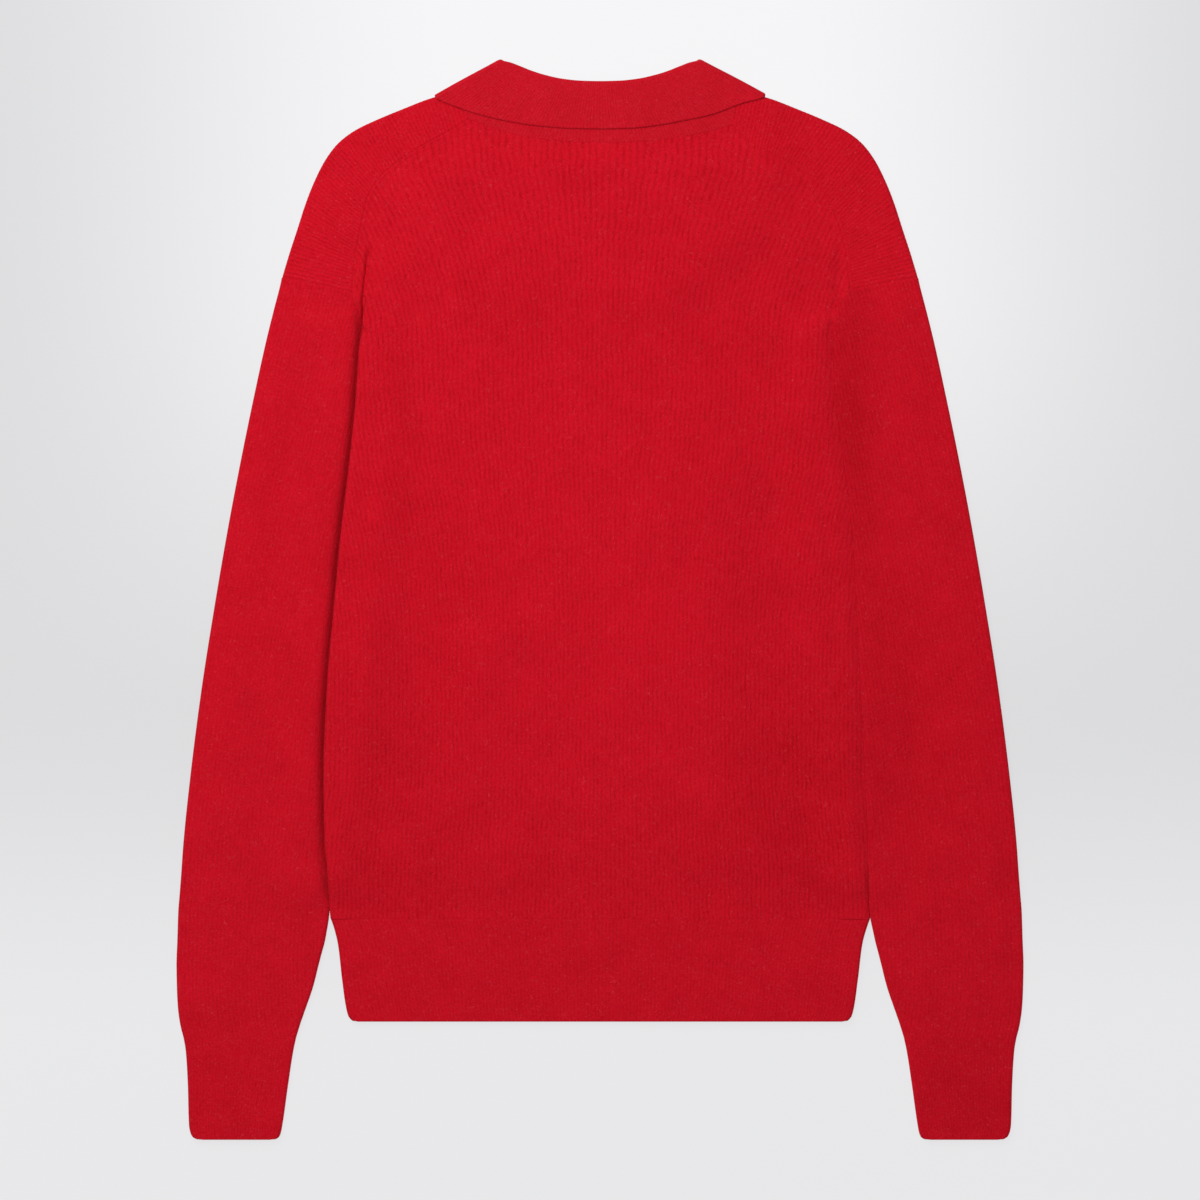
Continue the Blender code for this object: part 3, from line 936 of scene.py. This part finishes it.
def with_edges(length: float, count: int, first: bool = True, last: bool = True) -> Array:
    """Positions from 0 to a length, close together near its ends.

    Args:
        length: The last position.
        count: Number of even steps between the close ones.
        first: Whether the start has close positions.
        last: Whether the end has them.

    Returns:
        The positions.
    """
    start = EDGE_STEPS if first else np.array([0.0])
    end = length - (EDGE_STEPS[::-1] if last else np.array([0.0]))
    return np.concatenate([start, np.linspace(start[-1], end[0], count + 1)[1:-1], end])


# Pieces


@dataclass
class BodyPanel:
    """The back panel, which shows, or the front panel beneath it."""

    on_top: bool
    finish: KnitFinish
    rows: int = 186
    columns: int = 452
    fold_steps: int = 8
    left_roll: float = 3.0
    right_roll: float = 5.5
    right_taper: float = 14.0
    wall: float = 1.6
    thinnest: float = 0.2
    opens_at: float = 186.0
    opens_over: float = 26.0
    wale_drift: float = 0.14
    drift_size: float = 26.0

    def build(self) -> bpy.types.Object:
        """Builds and dresses the panel.

        Returns:
            The panel.
        """
        name = "back_panel" if self.on_top else "front_panel"
        points, from_edge, along, length, half, crease_shade = self.surface()
        x, y = points[..., 0], points[..., 1]
        wall = np.where(x > 0.0, np.clip(half - 0.1, self.thinnest, self.wall), self.wall)[..., None]
        wales = x / through(y, *zip(*PITCHES)) + self.wale_drift * uneven(x, y, self.drift_size, 5)
        courses = y / KNIT.course
        calm = smooth_step(from_edge / 3.0) * KNIT.shown(x, y)
        relief = KNIT.ridges(wales) * calm
        sewn = smooth_step((y - SIDES[-1].y) / 14.0)
        relief += KNIT.seam(from_edge) * sewn * (1.0 if self.on_top else 0.5)
        hem_seam = 0.35 * KNIT.seam(along)
        relief += hem_seam + 0.4 * KNIT.seam(length - along) * smooth_step(from_edge / 4.0)
        if not self.on_top:
            points, relief = points[:, ::-1], relief[:, ::-1]
            wales, courses, wall = wales[:, ::-1], courses[:, ::-1], wall[:, ::-1]
        count = points.shape[1]
        near = np.array([0, 2, 4, 6, self.fold_steps, self.fold_steps + 5])
        middle = self.fold_steps + spread(count - 2 * self.fold_steps, 30)
        columns = np.unique(np.concatenate([near, middle, count - 1 - near]))
        relief = np.minimum(relief, 0.6 if self.on_top else 0.0)
        shell = Shell(name, points, relief, wales, courses, spread(points.shape[0], 40), columns, wall,
                      painted_crease_shade=crease_shade if self.on_top else None)
        piece = shell.build(self.finish, name)
        return piece

    def boundaries(self) -> tuple[Array, Array, Array, Array]:
        """The ends and the middle of each row of stitches in the tables.

        Returns:
            The left ends, the right ends, the heights in the middle, and the distance along the edges.
        """
        heights = column(SIDES, "y")
        left, right = (
            np.concatenate([np.stack([column(SIDES, name), heights], axis=1), points_of(ARMHOLES, name)])
            for name in ("left", "right")
        )
        if self.on_top:
            middle = np.concatenate([heights, column(ARMHOLES, "back")])
        else:
            drop = (ARMHOLES[0].left_y - ARMHOLES[0].front) * smooth_step(heights / ARMHOLES[0].left_y)
            middle = np.concatenate([heights - drop, column(ARMHOLES, "front")])
        along = (chord_lengths(left) + chord_lengths(right)) / 2
        return left, right, middle, along

    def surface(self) -> tuple[Array, Array, Array, float, Array, Array]:
        """The panel's outer face.

        Returns:
            Its points from the hem up, their distance from the side edges, their distance along the edges
            from the hem, the length of the edges, the points' height above the middle of the two panels, and
            the painted shade in the troughs of the creases, from 0 to 1.
        """
        left, right, middle, knots = self.boundaries()
        along = with_edges(knots[-1], self.rows)[:, None]
        left_x, left_y = (through(along, knots, left[:, axis]) for axis in (0, 1))
        right_x, right_y = (through(along, knots, right[:, axis]) for axis in (0, 1))
        middle_y = through(along, knots, middle)
        width = right_x - left_x

        opening = smooth_step((left_y - self.opens_at) / self.opens_over)
        angles = np.radians(np.linspace(90.0, 0.0, self.fold_steps))
        flat_steps = np.concatenate([EDGE_STEPS, [3.4]])
        turned = angles * (1.0 - opening)
        ends = []
        beside = smooth_step((left_y - SIDES[0].y - 14.0) / 40.0)
        for roll in (self.left_roll, self.right_roll + (self.right_taper - self.right_roll) * beside):
            ends.append((1.0 - opening) * roll * (1.0 - np.sin(turned)) + opening * flat_steps)
        even = np.linspace(0.0, 1.0, self.columns + 1)[1:-1]
        inner = ends[0][:, -1:] + even * (width - ends[0][:, -1:] - ends[1][:, -1:])
        away = np.concatenate([ends[0], inner, width - ends[1][:, ::-1]], axis=1)
        right_share = np.cos(turned)[:, ::-1] ** (1.0 + beside)
        share = np.concatenate([np.cos(turned), np.ones_like(inner), right_share], axis=1)

        x = left_x + away
        across = 2.0 * away / width - 1.0
        bend = BACK_BEND if self.on_top else FRONT_BEND
        end_y = np.where(across < 0.0, left_y, right_y)
        y = middle_y + (end_y - middle_y) * np.abs(across) ** bend
        from_side = np.minimum(away, width - away)

        to_neck = knots[-1] - along + 0.0 * x
        from_edge = np.minimum(np.minimum(from_side, to_neck), y - SIDES[0].y)
        height = 2.0 * CLOTH.wall + LIE.air(x, y, from_edge)
        in_fold = (CLOTH.fold_air - CLOTH.air) * (1.0 - opening) * smooth_step(2.0 - from_side / 13.0)
        height = np.maximum(height, 2.0 * CLOTH.wall + CLOTH.air + in_fold)
        half = np.maximum(share * height / 2.0, 0.05)
        z = LIE.lift(x, y) + height / 2.0 + (half if self.on_top else -half)
        crease_shade = np.zeros(z.shape)
        if self.on_top:
            crease, lean, crease_shade = LIE.creases(x, y)
            z = z + crease * smooth_step(from_side / 3.0)
            x = x + lean * smooth_step(from_side / 3.0)
        return np.stack([x, y, z], axis=2), from_side, along + 0.0 * x, knots[-1], half, crease_shade


@dataclass
class FlatTube:
    """A sleeve, a cuff or the hem band: a tube of knit lying flat."""

    name: str
    finish: KnitFinish
    table: Sequence[Tube]
    side: int
    rows: int
    columns: int
    flat: tuple[float, float]
    area: float
    pitch: float | None = None
    wales: int = 0
    crown: float = 0.0
    wall: float = 2.1
    open_foot: bool = True
    head_seam: float = 0.0
    overlap: float = 0.4

    def build(self) -> bpy.types.Object:
        """Builds and dresses the tube.

        Returns:
            The tube.
        """
        outer, inner, length = self.folds()
        points, from_outer = self.surface(outer, inner)
        if self.wales:
            turns = np.arange(self.columns + 1) / self.columns * self.wales
            wales = np.repeat(turns[None], len(points), axis=0)
        else:
            wales = np.concatenate([from_outer, from_outer[:, :1]], axis=1) / self.pitch
        along = length[:, None] + np.zeros_like(points[..., 0])
        courses = along / (KNIT.course if self.pitch else KNIT.rib_course)
        courses = np.concatenate([courses, courses[:, :1]], axis=1)
        relief = KNIT.ridges(wales[:, :-1]) * KNIT.shown(*np.moveaxis(points[..., :2], 2, 0))
        total = length[-1]
        ends = (KNIT.rim(along) if self.open_foot else 0.0) + self.head_seam * KNIT.seam(total - along)
        relief = relief + np.where(points[..., 2] > CLOTH.tube_fold, ends, np.minimum(ends, 0.0))
        if self.side < 0:
            points = points[:, ::-1] * (-1.0, 1.0, 1.0)
            relief, wales, courses = relief[:, ::-1], wales[:, ::-1], courses[:, ::-1]
        shell = Shell(self.name, points, relief, wales, courses, spread(len(points), max(6, self.rows // 6)),
                      spread(self.columns + 1, self.columns // 6)[:-1], self.wall, closed=True)
        piece = shell.build(self.finish, self.name)
        return piece

    def folds(self) -> tuple[Array, Array, Array]:
        """The two folds of each section, from the foot to the head.

        Returns:
            The outer folds, the inner folds and the distance from the foot.
        """
        rows = list(self.table[::-1])
        if self.head_seam and self.table is SLEEVE:
            hole, head = ARMHOLES[0], rows[-1]
            seam = (hole.right_x, hole.right_y) if self.side > 0 else (-hole.left_x, hole.left_y)
            rows[-1] = head._replace(
                outer_y=head.outer_y + self.overlap, inner_x=seam[0] - 0.8, inner_y=seam[1] + self.overlap
            )
        outer, inner = points_of(rows, "outer"), points_of(rows, "inner")
        for index, row in enumerate(rows):
            if row.tuck > 0.0:
                left, right = side_edges(np.array(row.inner_y))
                inner[index, 0] = (right if self.side > 0 else -left) - row.tuck
        knots = chord_lengths(outer)
        length = with_edges(knots[-1], self.rows)
        return line_through(length, knots, outer), line_through(length, knots, inner), length

    def surface(self, outer: Array, inner: Array) -> tuple[Array, Array]:
        """The tube's outer face, as a right-hand tube: over the top from the inner fold, and back beneath.

        Args:
            outer: The outer fold of each section.
            inner: The inner fold of each section.

        Returns:
            The points, and the distance of each from the outer fold along the cloth.
        """
        radius = CLOTH.tube_fold
        run = outer - inner
        width = np.linalg.norm(run, axis=1)[:, None]
        straight = width - 2.0 * radius
        arc = math.pi * radius
        around = np.arange(self.columns) / self.columns * (2.0 * straight + 2.0 * arc)
        top, bend = np.clip(around, 0.0, straight), np.clip(around - straight, 0.0, arc)
        below = np.clip(around - straight - arc, 0.0, straight)
        last = np.clip(around - 2.0 * straight - arc, 0.0, arc)
        angle = (bend + last) / radius
        centre = radius + top - below
        away = centre + radius * np.sin(angle)
        height = radius * (1.0 + np.cos(angle))
        plan = inner[:, None, :] + (away / width)[..., None] * run[:, None, :]
        from_outer = np.abs(around - straight - arc / 2.0)
        x, y = plan[..., 0], plan[..., 1]
        if self.crown > 0.0:
            height = height + self.crown_height(x, y, width - away, away) * smooth_step(height / radius - 1.0)
        return np.stack([x, y, height], axis=2), from_outer

    def crown_height(self, x: Array, y: Array, from_outer: Array, from_inner: Array) -> Array:
        """How far the upper layer swells between the folds and dips beside the body.

        Args:
            x: Places on the tube.
            y: Places on the tube.
            from_outer: Distance from the outer fold.
            from_inner: Distance from the inner fold.

        Returns:
            The height to add.
        """
        left, right = side_edges(y)
        edge = right if self.side > 0 else -left
        beside = (y > SIDES[0].y) & (y < ARMHOLES[0].right_y)
        clear = np.where(beside, x - edge, from_inner)
        below, reach = (9.0, 20.0) if self.side < 0 else (0.0, 9.0)
        near = smooth_step((y - SIDES[0].y) / 26.0) * smooth_step((ARMHOLES[0].right_y - below - y) / reach)
        free = smooth_step(from_outer / 22.0)
        crown = self.crown * free * smooth_step((clear - 3.0) / 34.0)
        bed = through(clear, *zip(*(LEFT_BED if self.side < 0 else RIGHT_BED)))
        height = crown + (bed * free - crown) * near
        ends = smooth_step((y + 314.0) / 40.0) * smooth_step((232.0 - y) / 30.0)
        waves = 0.22 * uneven(x, y, 46.0, 11 + self.side) * free * smooth_step((clear - 12.0) / 20.0)
        return (height + waves) * ends


@dataclass
class Saddle:
    """The strip from the neck along the shoulder, folded over it between its two armhole seams."""

    side: int
    finish: KnitFinish
    rows: int = 272
    top_columns: int = 30
    under_columns: int = 14
    fold_steps: int = 9
    pitch: float = 2.85
    course: float = 2.3
    gap: float = -0.08
    wall: float = 1.6

    def build(self) -> bpy.types.Object:
        """Builds and dresses the saddle.

        Returns:
            The saddle.
        """
        name = "saddle_right" if self.side > 0 else "saddle_left"
        points, from_seam, along, length = self.surface()
        wales = along / self.pitch
        courses = from_seam / self.course
        relief = 0.8 * KNIT.ridges(wales) * smooth_step(from_seam / 3.0)
        seams = KNIT.seam(from_seam) + 0.8 * KNIT.seam(along) + 0.4 * KNIT.seam(length - along)
        above = points[..., 2] > LIE.leaf_lift(points[..., 0], points[..., 1]) + CLOTH.tube_fold
        relief = relief + np.where(above, seams, np.minimum(seams, 0.0))
        if self.side < 0:
            points = points[:, ::-1]
            relief, wales, courses = relief[:, ::-1], wales[:, ::-1], courses[:, ::-1]
        shell = Shell(name, points, relief, wales, courses, spread(len(points), 40),
                      spread(points.shape[1], 18), self.wall)
        piece = shell.build(self.finish, name)
        return piece

    def surface(self) -> tuple[Array, Array, Array, float]:
        """The saddle's outer face, over the top from the back's seam, round the shoulder and back beneath.

        Returns:
            The points, their distance from the seam across the strip, their distance along it from the
            sleeve, and its length.
        """
        seam = points_of(ARMHOLES, "right" if self.side > 0 else "left")
        fold = points_of(ARMHOLES, "fold") * (self.side, 1.0)
        knots = (chord_lengths(seam) + 2.0 * chord_lengths(fold)) / 3.0
        along = with_edges(knots[-1], self.rows)
        seam, fold = (line_through(along, knots, line) for line in (seam, fold))

        radius = CLOTH.tube_fold
        run = fold - seam
        width = np.linalg.norm(run, axis=1)[:, None]
        straight = width - radius - self.gap
        start = EDGE_STEPS[-1]
        even = start + np.linspace(0.0, 1.0, self.top_columns)[1:] * (straight - start)
        top = np.concatenate([EDGE_STEPS + 0.0 * straight, even], axis=1)
        angles = np.linspace(0.0, math.pi, self.fold_steps)[1:-1] + 0.0 * straight
        under = straight * np.linspace(1.0, 0.0, self.under_columns)
        away = self.gap + np.concatenate([top, straight + radius * np.sin(angles), under], axis=1)
        level = np.concatenate([1.0 + 0.0 * top, np.cos(angles), -1.0 + 0.0 * under], axis=1)
        back = 2.0 * straight + math.pi * radius - under
        path = np.concatenate([top, straight + radius * angles, back], axis=1)
        plan = seam[:, None, :] + (away / width)[..., None] * run[:, None, :]
        x, y = plan[..., 0], plan[..., 1]
        z = LIE.leaf_lift(x, y) + radius * (1.0 + level)
        total = path[:, -1:]
        from_seam = np.minimum(path, total - path)
        return np.stack([x, y, z], axis=2), from_seam, along[:, None] + 0.0 * x, knots[-1]


@dataclass
class Collar:
    """One ribbed strip round the neck: a stand with a leaf folded over it. On the back its right edge lies
    higher around the places in rises, each with its reach and height."""

    finish: KnitFinish
    columns: int = 980
    stand_rows: int = 12
    fold_rows: int = 8
    leaf_rows: int = 20
    wales: int = 245
    course: float = 2.0
    turn_length: float = 9.0
    stand_wall: float = 2.85
    leaf_wall: float = 1.7
    gap: float = -0.08
    leaf_drop: float = 0.8
    pinch: float = 0.38
    pinch_at_edge: float = 0.13
    rises: tuple = ((101.0, 15.0, 2.8), (66.0, 26.0, 1.7))

    def build(self) -> bpy.types.Object:
        """Builds and dresses the collar.

        Returns:
            The collar.
        """
        points, from_end, path, total = self.surface()
        count = points.shape[1]
        turns = np.linspace(0.0, self.wales, count)
        wales = np.repeat(turns[None], len(points), axis=0)
        courses = path / self.course
        relief = 0.55 * KNIT.ridges(wales) * smooth_step(path / 2.5)
        relief = relief + KNIT.rim(total - path) + KNIT.rim(from_end)
        leaf = smooth_step((np.arange(len(points)) - self.stand_rows) / self.fold_rows)[:, None, None]
        wall = self.stand_wall + (self.leaf_wall - self.stand_wall) * leaf
        shell = Shell("collar", points[:, ::-1], relief[:, ::-1], wales[:, ::-1], courses[:, ::-1],
                      spread(len(points), 22), spread(count, 240), wall)
        piece = shell.build(self.finish, "collar")
        return piece

    def surface(self) -> tuple[Array, Array, Array, Array]:
        """The collar's outer face: up the stand's neck side, over the fold and down the leaf.

        Returns:
            The points, their distance from the front ends, their distance from the sewn edge along the
            cloth, and the length of that way.
        """
        base, fold, edge = (points_of(COLLAR, name) for name in ("base", "fold", "edge"))
        turned = column(COLLAR, "turn")
        knots = (chord_lengths(base) + chord_lengths(fold) + chord_lengths(edge)) / 3.0
        knots = knots + (180.0 - turned) / 180.0 * self.turn_length
        neck = ARMHOLES[-1]
        corner = np.argmin(np.hypot(base[:, 0] - neck.left_x, base[:, 1] - neck.left_y))
        right_base = base.copy()
        base[corner] = (neck.left_x, neck.left_y)
        right_base[corner] = (-neck.right_x, neck.right_y)
        flipped = slice(-2, None, -1)
        knots = np.concatenate([knots, 2.0 * knots[-1] - knots[flipped]])
        turned = np.concatenate([turned, turned[flipped]])
        along = with_edges(knots[-1], self.columns)
        base, fold, edge = (
            line_through(along, knots, np.concatenate([line, other[flipped] * (-1.0, 1.0)]))
            for line, other in ((base, right_base), (fold, fold), (edge, edge))
        )
        turn = np.radians(through(along, knots, turned))
        at_back = (turn < 0.25 * math.pi) & (base[:, 0] > neck.left_x) & (base[:, 0] < neck.right_x)
        base[:, 1] = np.where(at_back, back_neck(base[:, 0]), base[:, 1]) + self.gap * (turn < 0.25 * math.pi)
        higher = sum(rise * bell((edge[:, 0] - place) / reach) for place, reach, rise in self.rises)
        edge[:, 1] += np.where(turn < 0.5 * math.pi, higher, 0.0)

        stand, leaf = unit(base - fold), unit(edge - fold)
        over = unit(stand + leaf)
        sideways = np.sin(turn) * np.where(along < knots[-1] / 2.0, 1.0, -1.0)
        outwards = np.stack([over[:, 1] * sideways, -over[:, 0] * sideways, np.cos(turn)], axis=1)

        radius = CLOTH.wall + CLOTH.leaf_air / 2.0
        inner = CLOTH.layer_gap / 2.0
        rows = []
        stand_length = np.linalg.norm(base - fold, axis=1)
        leaf_length = np.linalg.norm(edge - fold, axis=1)
        for share in np.linspace(0.0, 1.0, self.stand_rows):
            plan = base + (fold + stand * radius - base) * share
            rows.append((plan, inner, (stand_length - radius) * share))
        for step in range(1, self.fold_rows):
            angle = math.pi * step / self.fold_rows
            way = stand + (leaf - stand) * step / self.fold_rows
            plan = fold + way * radius * (1.0 - math.sin(angle))
            height = inner + radius * (1.0 - math.cos(angle))
            rows.append((plan, height, stand_length + radius * (angle - 1.0)))
        start = stand_length + radius * (math.pi - 1.0)
        for share in with_edges(1.0, self.leaf_rows, first=False, last=False):
            away = radius + (leaf_length - radius) * share
            rows.append((fold + leaf * away[:, None], inner + 2.0 * radius, start + away - radius))
        rows = rows[:-1]
        for back in (1.2, 0.8, 0.5, 0.25, 0.08, 0.0):
            rows.append((edge - leaf * back, inner + 2.0 * radius, start + leaf_length - radius - back))

        points = np.zeros((len(rows), len(along), 3))
        path = np.zeros((len(rows), len(along)))
        for index, (plan, away, way) in enumerate(rows):
            down = smooth_step((way - start) / (leaf_length - radius))
            points[index, :, :2] = plan
            points[index, :, 2] = inner + 2.0 * radius
            pinch = 1.0 - self.pinch + (self.pinch - self.pinch_at_edge) * down
            squash = np.stack([pinch, pinch, 1.0 + 0.0 * down], axis=1)
            points[index] += outwards * squash * (away - self.leaf_drop * down * down)[:, None]
            path[index] = way
        from_end = np.minimum(along, knots[-1] - along)[None] + 0.0 * path
        return points, from_end, path, path[-1:]


# Painted shade low on both sides and at the middle right of the body, and painted light in its middle
BODY_PAINTED_SHADE_AND_LIGHT = (
    TonePatch(0.146, -0.140, 0.075, 0.150, -0.10),
    TonePatch(-0.150, -0.150, 0.070, 0.140, -0.05),
    TonePatch(0.128, 0.070, 0.060, 0.120, -0.02),
    TonePatch(0.000, 0.020, 0.130, 0.260, 0.05),
)
# A darker patch on the right cuff
RIGHT_CUFF_DARKER_PATCH = (TonePatch(0.262, -0.352, 0.060, 0.070, -0.09),)
# Painted shadow of the body's right edge on the right sleeve, in a strip beside the body
RIGHT_SLEEVE_PAINTED_SHADOW = (
    TonePatch(0.182, 0.130, 0.032, 0.170, -0.15),
    TonePatch(0.212, -0.080, 0.042, 0.150, -0.10),
)


@dataclass
class Sweater:
    """The whole garment."""

    body: KnitFinish = KnitFinish("brushed_knit", Slot.KNIT, tone_patch=BODY_PAINTED_SHADE_AND_LIGHT)
    sleeve: KnitFinish = KnitFinish(
        "sleeve_knit", Slot.KNIT, wale_shading=0.05, furrow_shade=0.09, tone_patch=RIGHT_SLEEVE_PAINTED_SHADOW
    )
    rib: KnitFinish = KnitFinish("fine_rib", Slot.RIB, wale_shading=0.05, furrow_shade=0.08, tone_patch=RIGHT_CUFF_DARKER_PATCH)
    collar: KnitFinish = KnitFinish(
        "collar_rib", Slot.RIB, light=(0.745, 0.0105, 0.0275), wale_shading=0.06, furrow_shade=0.10
    )

    def build(self) -> list[bpy.types.Object]:
        """Builds all pieces.

        Returns:
            The pieces.
        """
        pieces = [BodyPanel(True, self.body).build()]
        pieces.append(BodyPanel(False, self.body, rows=150, columns=300).build())
        hem = FlatTube("hem_band", self.rib, HEM, 1, 26, 1176, (0.75, 0.074), 0.055, wales=294, head_seam=0.2)
        pieces.append(hem.build())
        pieces.append(Collar(self.collar).build())
        for name, side in (("left", -1), ("right", 1)):
            pieces.append(Saddle(side, self.body).build())
            sleeve = FlatTube("sleeve_" + name, self.sleeve, SLEEVE, side, 170, 344, (0.28, 0.56), 0.125,
                              pitch=2.8, crown=1.7, wall=1.8, open_foot=False, head_seam=0.7)
            pieces.append(sleeve.build())
            cuff = FlatTube("cuff_" + name, self.rib, CUFF, side, 32, 272, (0.16, 0.074), 0.0108, wales=68)
            pieces.append(cuff.build())
        return pieces


@dataclass
class Studio:
    """Pale table that glows with painted light, soft light from the upper left and a camera straight above.
    """

    view_width: float = 0.864
    camera_height: float = 6.0
    sensor: float = 36.0
    table_size: float = 60.0
    table_glow: float = 0.640
    top_glow: float = 0.195
    foot_glow: float = 0.100
    table_drop: float = 0.0006
    key_place: tuple[float, float, float] = (-0.55, 0.85, 1.6)
    key_size: float = 1.5
    key_power: float = 27.3
    surroundings: float = 0.42

    def build(self) -> None:
        """Adds the table, the lights and the camera."""
        self.add_table()
        self.add_camera()
        self.add_light("key", self.key_place, self.key_size, self.key_power)
        world = bpy.data.worlds.new("soft surroundings")
        world.use_nodes = True
        background = world.node_tree.nodes["Background"]
        background.inputs["Color"].default_value = (0.96, 0.97, 1.0, 1.0)
        background.inputs["Strength"].default_value = self.surroundings
        bpy.context.scene.world = world
        bpy.context.scene.view_settings.view_transform = "Standard"

    def add_table(self) -> None:
        """Adds the table top, which glows with painted light: brightest behind the collar, brighter again
        towards the bottom.
        """
        mesh = bpy.data.meshes.new("table")
        half = self.table_size / 2.0
        mesh.from_pydata([(-half, -half, 0.0), (half, -half, 0.0), (half, half, 0.0), (-half, half, 0.0)], [],
                         [(0, 1, 2, 3)])
        table = add_object("table", mesh)
        table.location.z = -self.table_drop
        paint = bpy.data.materials.new("glowing_table")
        paint.use_nodes = True
        nodes = NodeMaker(paint.node_tree)
        place = nodes.apart(nodes.add("ShaderNodeTexCoord").outputs["Object"])
        aside = nodes.maths("ABSOLUTE", nodes.maths("SUBTRACT", place["X"], 0.015))
        # Painted light: the glow rises behind the collar and towards the bottom
        top = nodes.maths("MULTIPLY", nodes.ease(aside, 0.5, 0.1), nodes.ease(place["Y"], -0.15, 0.25))
        glow = nodes.maths("MULTIPLY_ADD", top, self.top_glow, self.table_glow)
        glow = nodes.maths("MULTIPLY_ADD", nodes.ease(place["Y"], -0.05, -0.32), self.foot_glow, glow)
        nodes.feed(nodes.tree.nodes["Principled BSDF"], {
            "Base Color": (0.08, 0.08, 0.08, 1.0),
            "Roughness": 1.0,
            "Specular IOR Level": 0.0,
            "Emission Color": nodes.blend(glow, (0.0, 0.0, 0.0), (1.0, 1.0, 1.018)),
            "Emission Strength": 1.0,
        })
        mesh.materials.append(paint)

    def add_camera(self) -> None:
        """Adds the camera."""
        data = bpy.data.cameras.new("camera")
        data.sensor_width = self.sensor
        data.lens = self.sensor * self.camera_height / self.view_width
        data.clip_end = 100.0
        camera = add_object("camera", data)
        camera.location = (0.0, 0.0, self.camera_height)
        bpy.context.scene.camera = camera

    def add_light(self, name: str, place: tuple[float, float, float], size: float, power: float) -> None:
        """Adds a square soft light aimed at the garment.

        Args:
            name: The light's name.
            place: Where it hangs.
            size: Its side.
            power: Its power in watts.
        """
        data = bpy.data.lights.new(name, "AREA")
        data.size = size
        data.energy = power
        light = add_object(name, data)
        light.location = place
        x, y, z = place
        light.rotation_euler = (math.atan2(math.hypot(x, y), z), 0.0, math.atan2(y, x) + math.pi / 2.0)


def corners(bounds: Sequence[Sequence[float]]) -> list[list[float]]:
    """A box as plain lists of numbers."""
    return [[float(value) for value in corner] for corner in bounds]


def main() -> None:
    """Builds the garment and its studio."""
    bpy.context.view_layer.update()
    pieces = Sweater().build()
    Studio().build()
    log.info("%d pieces", len(pieces))


if __name__ == "__main__":
    main()
